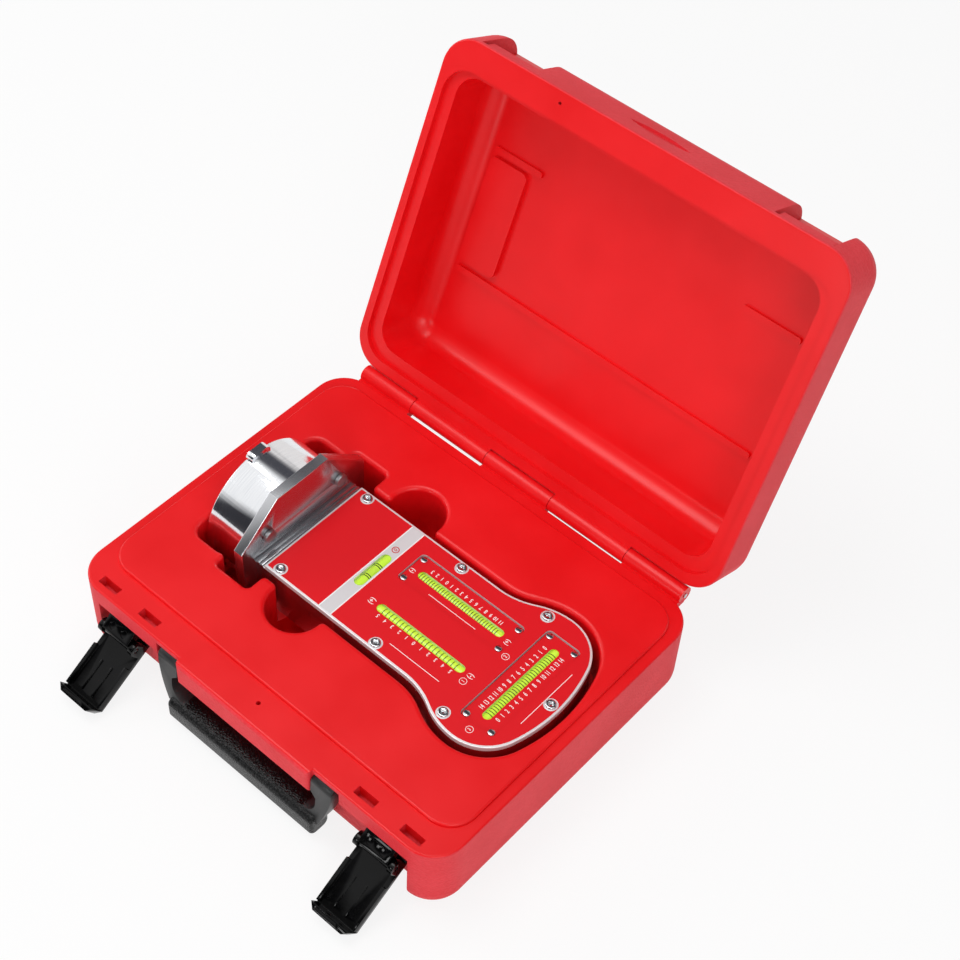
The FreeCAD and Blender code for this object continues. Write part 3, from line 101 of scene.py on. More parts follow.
def add(material, kind, links=None, ramp=None, **settings):
    """Adds one shader node. links gives its inputs a value or another node's output, and
    ramp gives a colour ramp its stops."""
    item = material.node_tree.nodes.new(kind)
    for word, value in settings.items():
        setattr(item, word, value)
    for place, (stop, code) in enumerate(ramp or ()):
        element = (item.color_ramp.elements[place] if place < 2
                   else item.color_ramp.elements.new(stop))
        element.position = stop
        element.color = linear(code)
    for word, value in (links or {}).items():
        if isinstance(value, bpy.types.NodeSocket):
            material.node_tree.links.new(value, item.inputs[word])
        else:
            item.inputs[word].default_value = value
    return item


def finish(name, **surface):
    """A new material with its Principled shader set; an underscore stands for a space."""
    material = bpy.data.materials.new(name)
    material.use_nodes = True
    shader = material.node_tree.nodes["Principled BSDF"]
    for word, value in surface.items():
        shader.inputs[word.replace("_", " ")].default_value = value
    return material, shader


def lead(material, shader, **outputs):
    """Leads other nodes' outputs into the shader's inputs."""
    for word, output in outputs.items():
        material.node_tree.links.new(output, shader.inputs[word.replace("_", " ")])


def coat(piece, *materials):
    """Gives a piece its materials in place of those it came with."""
    piece.data.materials.clear()
    for material in materials:
        piece.data.materials.append(material)
    return piece


def dress(node_name, *materials):
    """Coats one of the solids."""
    return coat(cad[node_name], *materials)


def mottle(material, shader, pitch, ramp=None, bump=None, detail=2.0):
    """Varies a surface by noise of that pitch: its tint by the ramp's stops, and its height by
    the bump's strength and depth."""
    spot = add(material, "ShaderNodeTexCoord").outputs["Object"]
    noise = add(material, "ShaderNodeTexNoise", {"Vector": spot, "Scale": 1 / pitch,
                                                 "Detail": detail}).outputs["Fac"]
    if ramp:
        tint = add(material, "ShaderNodeValToRGB", {"Fac": noise}, ramp=ramp)
        lead(material, shader, Base_Color=tint.outputs["Color"])
    if bump:
        strength, depth = bump
        skin = add(material, "ShaderNodeBump", {"Height": noise, "Strength": strength,
                                                "Distance": depth})
        lead(material, shader, Normal=skin.outputs["Normal"])


def merged_copy(name, ending):
    """A copy of a solid, selected alone, with its double points merged and flat faces joined."""
    bpy.ops.object.select_all(action="DESELECT")
    piece = bpy.data.objects.new(name + ending, cad[name].data.copy())
    bpy.context.collection.objects.link(piece)
    piece.select_set(True)
    bpy.context.view_layer.objects.active = piece
    bpy.ops.object.mode_set(mode="EDIT")
    bpy.ops.mesh.select_all(action="SELECT")
    bpy.ops.mesh.remove_doubles(threshold=0.000001)
    bpy.ops.mesh.dissolve_limited(angle_limit=math.radians(0.5))
    bpy.ops.object.mode_set(mode="OBJECT")
    return piece


# Polished polyethylene: a soft gloss, over a skin that waves a little every few centimetres.
polished_red, shader = finish("blow_moulded_polyethylene_polished", Roughness=0.3, IOR=1.54,
                              Specular_IOR_Level=0.3)
spot = add(polished_red, "ShaderNodeTexCoord").outputs["Object"]
wave = add(polished_red, "ShaderNodeTexNoise", {"Vector": spot, "Scale": 1 / 0.040, "Detail": 2.0})
pore = add(polished_red, "ShaderNodeTexNoise", {"Vector": spot, "Scale": 1 / 0.0012})
tint = add(polished_red, "ShaderNodeValToRGB", {"Fac": wave.outputs["Fac"]},
           ramp=((0.35, "E60B12"), (0.68, "ED1219")))
dull = add(polished_red, "ShaderNodeMapRange", {"Value": wave.outputs["Fac"], "To Min": 0.26,
                                                "To Max": 0.38})
sag = add(polished_red, "ShaderNodeBump", {"Height": wave.outputs["Fac"], "Strength": 0.25,
                                           "Distance": 0.0012})
skin = add(polished_red, "ShaderNodeBump", {"Height": pore.outputs["Fac"], "Strength": 0.06,
                                            "Distance": 0.0002, "Normal": sag.outputs["Normal"]})
lead(polished_red, shader, Base_Color=tint.outputs["Color"], Roughness=dull.outputs["Result"],
     Normal=skin.outputs["Normal"])

# Grained polyethylene: the mould was etched with pits about a millimetre across, which makes
# the same red look paler and matt.
grained_red, shader = finish("blow_moulded_polyethylene_grained", Roughness=0.6, IOR=1.54,
                             Specular_IOR_Level=0.35)
spot = add(grained_red, "ShaderNodeTexCoord").outputs["Object"]
pit = add(grained_red, "ShaderNodeTexVoronoi", {"Vector": spot, "Scale": 1 / 0.0013})
speck = add(grained_red, "ShaderNodeTexNoise", {"Vector": spot, "Scale": 1 / 0.0016,
                                                "Detail": 3.0, "Roughness": 0.6})
cloud = add(grained_red, "ShaderNodeTexNoise", {"Vector": spot, "Scale": 1 / 0.030})
mixed = add(grained_red, "ShaderNodeMath", {0: speck.outputs["Fac"], 1: cloud.outputs["Fac"]},
            operation="MULTIPLY")
tint = add(grained_red, "ShaderNodeValToRGB", {"Fac": mixed.outputs["Value"]},
           ramp=((0.14, "E0242F"), (0.36, "EA333E")))
skin = add(grained_red, "ShaderNodeBump", {"Height": pit.outputs["Distance"], "Strength": 0.5,
                                           "Distance": 0.0003})
lead(grained_red, shader, Base_Color=tint.outputs["Color"], Normal=skin.outputs["Normal"])

# The lid stands open. Turned back about the hinge it lies on the base again, which is how its
# grained outside is told from its polished inside.
hinge = Vector((0, 0.11145, 0.0555))
open_angle = math.radians(112.8)
shutting = Matrix.Translation(hinge) @ Matrix.Rotation(open_angle, 4, "X") @ \
    Matrix.Translation(-hinge)
wall_x, wall_front, wall_back = 0.1296, -0.0960, 0.1010


def grained(solid, turn, level, sole):
    """Gives the grain to a case half's sole and to its outer walls on the sole's side of level,
    and the polish to the rest. The turn lays the half on the base."""
    for face in solid.data.polygons:
        middle = turn @ face.center
        beyond = abs(middle.x) > wall_x or not wall_front < middle.y < wall_back
        away = (middle.z - level) * (sole - level) > 0
        deep = (middle.z - sole) * (sole - level) > 0
        face.material_index = 1 if (beyond and away) or deep else 0
        face.use_smooth = True


grained(dress("case_base", polished_red, grained_red), Matrix(), 0.0540, 0.0020)

# The mouth of the lid's cavity is rolled over, the pad and ribs inside it are half as round,
# and its other corners are slightly round.
rolled_lid = merged_copy("case_lid", "_rolled")
bpy.ops.object.mode_set(mode="EDIT")
bpy.ops.mesh.select_all(action="DESELECT")
bpy.ops.mesh.select_mode(type="EDGE")
bpy.ops.mesh.edges_select_sharp(sharpness=math.radians(50))
bpy.ops.object.mode_set(mode="OBJECT")
ledge_level, inner_level = 0.0578, 0.0860
cavity_x, cavity_front, cavity_back = 0.1225, -0.0865, 0.0915
roll = rolled_lid.data.attributes.new("bevel_weight_edge", "FLOAT", "EDGE")
for edge in rolled_lid.data.edges:
    ends = [shutting @ rolled_lid.data.vertices[place].co for place in edge.vertices]
    mouth = all(abs(end.z - ledge_level) < 0.0002 and abs(end.x) < cavity_x
                and cavity_front < end.y < cavity_back for end in ends)
    inside = all(end.z > inner_level and abs(end.x) < cavity_x for end in ends)
    share = 1.0 if mouth else 0.5 if inside else 0.25
    roll.data[edge.index].value = share if edge.select else 0.0
rounding = rolled_lid.modifiers.new("rounding", "BEVEL")
rounding.width = 0.0024
rounding.segments = 4
rounding.limit_method = "WEIGHT"
bpy.ops.object.modifier_apply(modifier="rounding")
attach(rolled_lid, body_of(cad["case_lid"])[0])
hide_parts("case_lid")
coat(rolled_lid, polished_red, grained_red)
grained(rolled_lid, shutting, 0.0550, 0.0960)
bpy.ops.object.shade_smooth_by_angle(angle=math.radians(40))
evening = rolled_lid.modifiers.new("evening", "WEIGHTED_NORMAL")
evening.weight = 100
evening.keep_sharp = True
bpy.ops.object.modifier_apply(modifier="evening")

# ---- Hinge pin ----------------------------------------------------------------------------
# One long pin of drawn mild steel wire, pushed through all five knuckles.
drawn_wire, shader = finish("drawn_mild_steel_wire", Base_Color=linear("C3C4C6"), Metallic=1.0,
                            Roughness=0.28)
spot = add(drawn_wire, "ShaderNodeTexCoord").outputs["Object"]
along = add(drawn_wire, "ShaderNodeMapping", {"Vector": spot, "Scale": (40, 4000, 4000)})
line = add(drawn_wire, "ShaderNodeTexNoise", {"Vector": along.outputs["Vector"], "Scale": 1.0})
skin = add(drawn_wire, "ShaderNodeBump", {"Height": line.outputs["Fac"], "Strength": 0.1,
                                          "Distance": 0.0001})
lead(drawn_wire, shader, Normal=skin.outputs["Normal"])
dress("hinge_pin", drawn_wire)


# ---- Carrying handle ----------------------------------------------------------------------
# A folding handle injection-moulded in black polypropylene. The arms are satin, and the grip
# across their ends is pebbled so that it doesn't slip.

def eased(name, width, sharp=30):
    """A merged copy of a solid that stands for it. Its edges that are sharper than an angle in
    degrees are eased by that width."""
    solid = cad[name]
    piece = merged_copy(name, "_eased")
    edges = piece.modifiers.new("edges", "BEVEL")
    edges.width = width
    edges.segments = 2
    edges.limit_method = "ANGLE"
    edges.angle_limit = math.radians(sharp)
    bpy.ops.object.modifier_apply(modifier="edges")
    bpy.ops.object.shade_smooth_by_angle(angle=math.radians(sharp))
    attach(piece, body_of(solid)[0])
    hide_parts(name)
    return piece


satin_black, shader = finish("polypropylene_satin_black", Roughness=0.38, IOR=1.49,
                             Specular_IOR_Level=0.4)
mottle(satin_black, shader, 0.0008, ramp=((0.3, "1B1B1C"), (0.7, "242425")),
       bump=(0.15, 0.0001))

# Pebbled polypropylene: rounded pebbles about a millimetre across, each painted lighter on its top
# as a painted glint.
pebbled_black_painted_glints, shader = finish("polypropylene_pebbled_black", Roughness=0.28, IOR=1.49,
                               Specular_IOR_Level=0.25)
spot = add(pebbled_black_painted_glints, "ShaderNodeTexCoord").outputs["Object"]
pebble = add(pebbled_black_painted_glints, "ShaderNodeTexVoronoi", {"Vector": spot, "Scale": 1 / 0.0009},
             feature="SMOOTH_F1")
# The tint paints each pebble's top lighter than its edges: painted glints.
tint = add(pebbled_black_painted_glints, "ShaderNodeValToRGB", {"Fac": pebble.outputs["Distance"]},
           ramp=((0.1, "1E1E20"), (0.35, "060607")))
skin = add(pebbled_black_painted_glints, "ShaderNodeBump", {"Height": pebble.outputs["Distance"],
                                             "Strength": 1.0, "Distance": 0.0004},
           invert=True)
lead(pebbled_black_painted_glints, shader, Base_Color=tint.outputs["Color"], Normal=skin.outputs["Normal"])

handle = coat(eased("carry_handle", 0.0008), satin_black, pebbled_black_painted_glints)
grip_top, grip_end = 0.0191, 0.0552
for face in handle.data.polygons:
    on_grip = face.center.z < grip_top and abs(face.center.x) < grip_end
    face.material_index = 1 if on_grip else 0

# ---- Latches ------------------------------------------------------------------------------
# Two over-centre latches in glossy black polypropylene: a short link snapped on the case, and
# a lever with a claw that hooks the lid.
gloss_black, shader = finish("polypropylene_gloss_black", Roughness=0.12, IOR=1.49,
                             Specular_IOR_Level=0.2)
mottle(gloss_black, shader, 0.006, ramp=((0.3, "030303"), (0.7, "060607")),
       bump=(0.15, 0.0004))
for side in ("left", "right"):
    for part in ("link", "lever"):
        latch = coat(eased("latch_%s_%s" % (part, side), 0.0004), gloss_black)

# ---- Gauge body ---------------------------------------------------------------------------
# A tub of cast aluminium, milled all over, with an end flange that carries the magnet.
milled_aluminium, shader = finish("milled_aluminium", Metallic=1.0, Roughness=0.3)
spot = add(milled_aluminium, "ShaderNodeTexCoord").outputs["Object"]
stretch = add(milled_aluminium, "ShaderNodeMapping", {"Vector": spot, "Scale": (5000, 300, 5000)})
mark = add(milled_aluminium, "ShaderNodeTexNoise", {"Vector": stretch.outputs["Vector"],
                                                    "Scale": 1.0, "Detail": 2.0})
stain = add(milled_aluminium, "ShaderNodeTexNoise", {"Vector": spot, "Scale": 1 / 0.020})
tint = add(milled_aluminium, "ShaderNodeValToRGB", {"Fac": stain.outputs["Fac"]},
           ramp=((0.3, "C4C5C8"), (0.7, "CBCCCF")))
dull = add(milled_aluminium, "ShaderNodeMapRange", {"Value": mark.outputs["Fac"],
                                                    "To Min": 0.2, "To Max": 0.28})
skin = add(milled_aluminium, "ShaderNodeBump", {"Height": mark.outputs["Fac"], "Strength": 0.05,
                                                "Distance": 0.00005})
lead(milled_aluminium, shader, Base_Color=tint.outputs["Color"], Roughness=dull.outputs["Result"],
     Normal=skin.outputs["Normal"])
body = coat(eased("gauge_body", 0.0003), milled_aluminium)

# ---- Face plate and printed label ---------------------------------------------------------
# A 3 mm plate of satin anodised aluminium screwed on the tub, under a printed polyester label
# that leaves a bare silver edge and a silver ring round each screw.
anodised_plate, shader = finish("satin_anodised_aluminium", Metallic=0.5, Roughness=0.4)
mottle(anodised_plate, shader, 0.0004, ramp=((0.3, "EAEAEC"), (0.7, "F4F4F5")),
       bump=(0.08, 0.0001))
dress("face_plate", anodised_plate)

# Screen-printed polyester: a smooth, even red film with a pale band across it.
band_low, band_high, band_line, band_reach = -0.0197, -0.0098, 0.0005, 0.01
printed_red, shader = finish("screen_printed_polyester_red", Roughness=0.28, IOR=1.57,
                             Specular_IOR_Level=0.3)
spot = add(printed_red, "ShaderNodeTexCoord").outputs["Object"]
split = add(printed_red, "ShaderNodeSeparateXYZ", {"Vector": spot})
off = add(printed_red, "ShaderNodeMath", {0: split.outputs["X"], 1: (band_low + band_high) / 2},
          operation="SUBTRACT")
far = add(printed_red, "ShaderNodeMath", {0: off.outputs["Value"]}, operation="ABSOLUTE")
half = (band_high - band_low) / 2
reach = add(printed_red, "ShaderNodeMapRange", {"Value": far.outputs["Value"],
                                                  "From Max": band_reach})
band = add(printed_red, "ShaderNodeValToRGB", {"Fac": reach.outputs["Result"]},
           ramp=((0.0, "D9DADC"), ((half - 2 * band_line) / band_reach, "F7F7F7"),
                 ((half - band_line / 2) / band_reach, "E2141F")))
band.color_ramp.interpolation = "CONSTANT"
weave = add(printed_red, "ShaderNodeTexNoise", {"Vector": spot, "Scale": 1 / 0.0007})
skin = add(printed_red, "ShaderNodeBump", {"Height": weave.outputs["Fac"], "Strength": 0.05,
                                           "Distance": 0.0001})
lead(printed_red, shader, Base_Color=band.outputs["Color"], Normal=skin.outputs["Normal"])
dress("face_label", printed_red)
for which in ("castor", "kingpin"):
    dress(which + "_scale", printed_red)

# ---- Screws -------------------------------------------------------------------------------
# Pan-head cross-recess screws of zinc-plated steel: seven hold the face plate and four each
# scale. The four that hold the drum have gone dull.
zinc_plate, shader = finish("bright_zinc_plated_steel", Base_Color=linear("C9CBCE"),
                            Metallic=1.0, Roughness=0.1)
mottle(zinc_plate, shader, 0.0006, bump=(0.1, 0.0001))
dull_zinc, shader = finish("dull_zinc_plated_steel", Base_Color=linear("9A9B9D"), Metallic=1.0,
                           Roughness=0.4)
mottle(dull_zinc, shader, 0.0006, bump=(0.15, 0.0001))
for name, plating in (("face_screws", zinc_plate), ("castor_scale_screws", zinc_plate),
                      ("kingpin_scale_screws", zinc_plate), ("drum_screws", dull_zinc)):
    screws = coat(eased(name, 0.00025, sharp=40), plating)

# ---- Scale print --------------------------------------------------------------------------
# White ink figures, signs and rules, screen-printed on the label and on the two tilting
# scales. The ink stands a few hundredths of a millimetre proud.
white_ink, shader = finish("white_screen_ink", Base_Color=linear("FFF1F1"), Roughness=0.45,
                           IOR=1.5)
mottle(white_ink, shader, 0.0005, ramp=((0.25, "FFDCDC"), (0.6, "FFF4F4")))
ink_thick = 0.00003


def printed(words, size, x, y, turn, top, narrow=0.8):
    """One printed figure or sign, its middle at x, y, turned by an angle and narrowed to a
    share of its width."""
    bpy.ops.object.select_all(action="DESELECT")
    bpy.ops.object.text_add(location=(x, y, top), rotation=(0, 0, math.radians(turn)))
    item = bpy.context.object
    item.data.body = words
    item.data.size = size
    item.data.align_x = "CENTER"
    item.data.align_y = "CENTER"
    item.data.extrude = ink_thick
    item.data.offset = size * 0.02
    item.data.resolution_u = 3
    item.scale.x = narrow
    bpy.ops.object.convert(target="MESH")
    bpy.ops.object.transform_apply(location=True, rotation=True, scale=True)
    return bpy.context.object


def ruled(low, high, top):
    """A printed bar between two corners."""
    bpy.ops.object.select_all(action="DESELECT")
    bpy.ops.mesh.primitive_plane_add(size=1, location=((low[0] + high[0]) / 2,
                                                       (low[1] + high[1]) / 2, top + ink_thick))
    bar = bpy.context.object
    bar.scale = (high[0] - low[0], high[1] - low[1], 1)
    bpy.ops.object.transform_apply(location=True, rotation=True, scale=True)
    bpy.ops.object.mode_set(mode="EDIT")
    bpy.ops.mesh.select_all(action="SELECT")
    bpy.ops.mesh.extrude_region_move(TRANSFORM_OT_translate={"value": (0, 0, -2 * ink_thick)})
    bpy.ops.mesh.select_all(action="SELECT")
    bpy.ops.mesh.normals_make_consistent(inside=False)
    bpy.ops.object.mode_set(mode="OBJECT")
    return bar


def ringed(x, y, radius, width, top):
    """A printed ring."""
    bpy.ops.object.select_all(action="DESELECT")
    bpy.ops.mesh.primitive_circle_add(vertices=40, radius=radius, location=(x, y, top),
                                      fill_type="NGON")
    ring = bpy.context.object
    bpy.ops.object.transform_apply(location=True, rotation=True, scale=True)
    bpy.ops.object.mode_set(mode="EDIT")
    bpy.ops.mesh.select_all(action="SELECT")
    bpy.ops.mesh.inset(thickness=width)
    bpy.ops.mesh.delete(type="FACE")
    bpy.ops.mesh.select_all(action="SELECT")
    bpy.ops.mesh.extrude_region_move(TRANSFORM_OT_translate={"value": (0, 0, ink_thick)})
    bpy.ops.mesh.select_all(action="SELECT")
    bpy.ops.mesh.normals_make_consistent(inside=False)
    bpy.ops.object.mode_set(mode="OBJECT")
    return ring


def joined(name, items, material, body_name):
    """Like pieces joined in one object that rides on a body."""
    bpy.ops.object.select_all(action="DESELECT")
    for item in items:
        item.select_set(True)
    bpy.context.view_layer.objects.active = items[0]
    bpy.ops.object.join()
    piece = bpy.context.object
    piece.name = name
    coat(piece, material)
    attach(piece, body_name)
    return piece


# Where each scale has its zero, and how far apart its figures stand.
gauge_y = 0.0055
castor_zero, castor_pitch = 0.02048, 0.00356
camber_zero, camber_pitch = 0.0352, 0.00526
kingpin_first, kingpin_last, kingpin_pitch = 0.0259, -0.0253, 0.00364
label_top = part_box("face_label")[1][2]
castor_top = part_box("castor_scale")[1][2]
kingpin_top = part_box("kingpin_scale")[1][2]

# Castor: figures 3 to 0 to 11 above its vial, read from the hinge side.
castor_print = [printed(str(abs(step)), 0.0036, castor_zero + castor_pitch * step,
                        gauge_y + 0.0223, 180, castor_top) for step in range(-3, 12)]
castor_print += [printed("(-)", 0.0040, 0.0006, gauge_y + 0.0153, 90, castor_top),
                 printed("(+)", 0.0040, 0.0705, gauge_y + 0.0149, 90, castor_top),
                 ruled((0.0185, gauge_y + 0.0093), (0.0525, gauge_y + 0.0097), castor_top)]
joined("castor_figures", castor_print, white_ink, "castor_tilt")

# King-pin: figures 0 to 14 on both sides of its vial, running opposite ways.
kingpin_print = []
for x, start, pitch in ((0.0879, kingpin_first, -kingpin_pitch),
                        (0.0994, kingpin_last, kingpin_pitch)):
    kingpin_print += [printed(str(step), 0.0042, x, gauge_y + start + pitch * step, 90,
                              kingpin_top, 0.6) for step in range(15)]
joined("kingpin_figures", kingpin_print, white_ink, "kingpin_tilt")

# Camber: figures 5 to 0 to 5 below its vial, with the signs at its ends, and the other marks
# of the fixed label.
label_print = [printed(str(abs(step)), 0.0034, camber_zero + camber_pitch * step,
                       gauge_y - 0.0205, 180, label_top) for step in range(-5, 6)]
label_print += [printed("(+)", 0.0044, -0.0005, gauge_y - 0.0155, 90, label_top),
                printed("(-)", 0.0044, 0.0712, gauge_y - 0.0155, 90, label_top),
                ruled((0.026, gauge_y - 0.0296), (0.0616, gauge_y - 0.0292), label_top),
                ruled((0.1098, gauge_y - 0.0197), (0.1102, gauge_y + 0.022), label_top)]
for figure, x, dy in (("1", 0.0706, -0.0205), ("2", 0.0766, 0.0065), ("3", 0.0929, -0.0404)):
    label_print += [ringed(x, gauge_y + dy, 0.0022, 0.0003, label_top),
                    printed(figure, 0.0028, x, gauge_y + dy, 90, label_top)]
joined("label_figures", label_print, white_ink, "gauge")

# One circled mark on the pale band is printed in the label's red.
red_ink, shader = finish("red_screen_ink", Base_Color=linear("C8202C"), Roughness=0.45, IOR=1.5)
mottle(red_ink, shader, 0.0005, ramp=((0.25, "D0404A"), (0.6, "C4202C")))
band_mark = [ringed(-0.0148, gauge_y + 0.0186, 0.0023, 0.0006, label_top),
             printed("0", 0.0034, -0.0148, gauge_y + 0.0186, 90, label_top, 0.9)]
joined("band_mark", band_mark, red_ink, "gauge")

# ---- Vials --------------------------------------------------------------------------------
# Four spirit vials: acrylic tubes with fluorescent yellow-green fluid, black graduation
# lines printed round them and one air bubble each, lying in white moulded holders.
holder_white, shader = finish("abs_white", Base_Color=linear("F1F1EC"), Roughness=0.4, IOR=1.53)
mottle(holder_white, shader, 0.0009, bump=(0.08, 0.0001))

cradle_white, shader = finish("acetal_white", Base_Color=linear("E9E9E4"), Roughness=0.36,
                              IOR=1.48)
mottle(cradle_white, shader, 0.0009, bump=(0.08, 0.0001))

# The clear tube is painted the fluid's yellow-green and made to glow: a painted image of the
# fluid, which refraction would spread across the whole tube, and a painted glow.
acrylic_with_painted_fluid_glow, shader = finish("clear_acrylic_over_fluid", Base_Color=linear("CBE85A"),
                               Roughness=0.05, IOR=1.49, Alpha=0.6,
                               Emission_Color=linear("BEE02E"), Emission_Strength=0.35)
mottle(acrylic_with_painted_fluid_glow, shader, 0.004, bump=(0.1, 0.0002))

# The fluid's emission is a painted glow that makes it brighter than the lamps light it.
vial_fluid, shader = finish("fluorescent_spirit_painted_glow", Roughness=0.08, IOR=1.36,
                            Emission_Color=linear("B4E024"), Emission_Strength=0.5)
mottle(vial_fluid, shader, 0.006, ramp=((0.3, "B4DC30"), (0.7, "CDEB48")))

for which in ("camber", "level", "castor", "kingpin"):
    dress(which + "_vial", acrylic_with_painted_fluid_glow)
    dress(which + "_fluid", vial_fluid)
for which in ("camber", "level"):
    dress(which + "_holder", holder_white)
for which in ("castor", "kingpin"):
    dress(which + "_cradle", cradle_white)
    dress(which + "_pivot_pin", drawn_wire)

line_thick = 0.00004
line_ink, shader = finish("black_vial_ink", Base_Color=linear("1C2A10"), Roughness=0.35, IOR=1.5)
mottle(line_ink, shader, 0.0005, ramp=((0.3, "16260C"), (0.7, "2A4214")))


def graduation(radius, width, half_angle):
    """One graduation line: the upper part of a thin ring round a vial that lies along X."""
    bpy.ops.object.select_all(action="DESELECT")
    bpy.ops.mesh.primitive_circle_add(vertices=72, radius=radius, location=(-width / 2, 0, 0),
                                      rotation=(0, math.pi / 2, 0))
    line = bpy.context.object
    bpy.ops.object.transform_apply(location=True, rotation=True, scale=True)
    bpy.ops.object.mode_set(mode="EDIT")
    bpy.ops.mesh.select_all(action="SELECT")
    bpy.ops.mesh.extrude_region_move(TRANSFORM_OT_translate={"value": (width, 0, 0)})
    bpy.ops.mesh.select_all(action="DESELECT")
    bpy.ops.object.mode_set(mode="OBJECT")
    for face in line.data.polygons:
        face.select = face.center.z < radius * math.cos(math.radians(half_angle))
    bpy.ops.object.mode_set(mode="EDIT")
    bpy.ops.mesh.delete(type="FACE")
    bpy.ops.mesh.select_all(action="SELECT")
    bpy.ops.mesh.solidify(thickness=line_thick)
    bpy.ops.mesh.select_all(action="SELECT")
    bpy.ops.mesh.normals_make_consistent(inside=False)
    bpy.ops.object.mode_set(mode="OBJECT")
    return line


def vial_place(which, along_y):
    """A vial's place, as a matrix that lays X along it from its middle, and its radius."""
    low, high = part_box(which + "_vial")
    middle = Vector([(a + b) / 2 for a, b in zip(low, high)])
    turn = Matrix.Rotation(math.pi / 2, 4, "Z") if along_y else Matrix()
    return Matrix.Translation(middle) @ turn, (high[2] - low[2]) / 2


def lined(which, body_name, along_y, marks):
    """The graduation lines of one vial; marks lists each line's place, width and half angle."""
    place, radius = vial_place(which, along_y)
    items = []
    for spot_x, width, angle in marks:
        line = graduation(radius + line_thick / 2, width, angle)
        line.data.transform(place @ Matrix.Translation((spot_x, 0, 0)))
        items.append(line)
    joined(which + "_lines", items, line_ink, body_name)


fine_line, long_arc, short_arc = 0.00045, 58, 36


def halves(zero, pitch, middle, steps):
    """Graduation lines at whole and half figures, those at the whole ones longer."""
    return [(zero + pitch / 2 * step - middle, fine_line, short_arc if step % 2 else long_arc)
            for step in steps]


camber_mid = vial_place("camber", False)[0].translation.x
lined("camber", "gauge", False, halves(camber_zero, camber_pitch, camber_mid, range(-10, 11)))
castor_mid = vial_place("castor", False)[0].translation.x
lined("castor", "castor_tilt", False, halves(castor_zero, castor_pitch, castor_mid,
                                             range(-8, 24)))
kingpin_mid = vial_place("kingpin", True)[0].translation.y
kingpin_centre = gauge_y + (kingpin_first + kingpin_last) / 2
lined("kingpin", "kingpin_tilt", True, halves(kingpin_centre, kingpin_pitch, kingpin_mid,
                                              range(-14, 15)))
lined("level", "gauge", True,
      [(spot_y, 0.0006, 75) for spot_y in (-0.0052, -0.0038, 0.0038, 0.0052)])


# Air bubbles: short clear capsules against the top of each tube, painted darker round their sides
# and paler on top by the slope of their surface: painted shade for the light they bend away.
bubble_air, shader = finish("air_bubble", Roughness=0.05, IOR=1.33, Alpha=0.55)
outward = add(bubble_air, "ShaderNodeTexCoord").outputs["Normal"]
slope_for_painted_rim_shade = add(bubble_air, "ShaderNodeSeparateXYZ", {"Vector": outward})
# The tint by the normal's upward part is painted shade on the bubble's sides.
tint = add(bubble_air, "ShaderNodeValToRGB", {"Fac": slope_for_painted_rim_shade.outputs["Z"]},
           ramp=((0.55, "5C8A24"), (0.9, "B8DE58")))
lead(bubble_air, shader, Base_Color=tint.outputs["Color"])
tube_wall, flatness = 0.0008, 0.45


def bubble(which, body_name, along_y, off, length, wide):
    """One air bubble, off the vial's middle along its length."""
    place, radius = vial_place(which, along_y)
    bpy.ops.object.select_all(action="DESELECT")
    bpy.ops.mesh.primitive_uv_sphere_add(segments=32, ring_count=16, radius=wide / 2)
    item = bpy.context.object
    for vertex in item.data.vertices:
        vertex.co.x += math.copysign((length - wide) / 2, vertex.co.x)
        vertex.co.z *= flatness
    bpy.ops.object.shade_smooth()
    item.data.transform(place @ Matrix.Translation((off, 0, radius - tube_wall
                                                      - wide * 0.15)))
    joined(which + "_bubble", [item], bubble_air, body_name)


bubble("camber", "gauge", False, 0.0494 - camber_mid, 0.0042, 0.0030)
bubble("castor", "castor_tilt", False, 0.0476 - castor_mid, 0.0062, 0.0030)
bubble("kingpin", "kingpin_tilt", True, 0.0004 - kingpin_mid, 0.0042, 0.0030)
bubble("level", "gauge", True, 0.0, 0.0072, 0.0034)

# ---- Zero adjusters -----------------------------------------------------------------------
# Knurled brass thumbscrews under the body, which tilt the two cradles.
turned_brass, shader = finish("turned_brass", Base_Color=linear("D8B564"), Metallic=1.0,
                              Roughness=0.28)
mottle(turned_brass, shader, 0.0006, bump=(0.1, 0.0001))
for which in ("castor", "kingpin"):
    dress(which + "_adjuster", turned_brass)

# ---- Magnetic drum ------------------------------------------------------------------------
# A turned steel cup round a ferrite ring magnet, with a steel pole in the middle that holds
# the sprung centring plunger.
turned_steel, shader = finish("turned_bright_steel", Metallic=1.0, Roughness=0.11)
spot = add(turned_steel, "ShaderNodeTexCoord").outputs["Object"]
squeeze = add(turned_steel, "ShaderNodeMapping", {"Vector": spot, "Scale": (3500, 50, 50)})
groove = add(turned_steel, "ShaderNodeTexNoise", {"Vector": squeeze.outputs["Vector"],
                                                  "Scale": 1.0, "Detail": 2.0})
tint = add(turned_steel, "ShaderNodeValToRGB", {"Fac": groove.outputs["Fac"]},
           ramp=((0.3, "E4E6EA"), (0.7, "F2F3F5")))
skin = add(turned_steel, "ShaderNodeBump", {"Height": groove.outputs["Fac"], "Strength": 0.12,
                                            "Distance": 0.00008})
lead(turned_steel, shader, Base_Color=tint.outputs["Color"], Normal=skin.outputs["Normal"])
cup = coat(eased("magnet_cup", 0.0004), turned_steel)
dress("centre_pole", turned_steel)
dress("centring_plunger", turned_steel)

sintered_ferrite, shader = finish("sintered_ferrite", Roughness=0.55, IOR=2.0)
mottle(sintered_ferrite, shader, 0.0005, ramp=((0.3, "29292B"), (0.7, "3A3A3C")),
       bump=(0.25, 0.0002), detail=4.0)
dress("ring_magnet", sintered_ferrite)

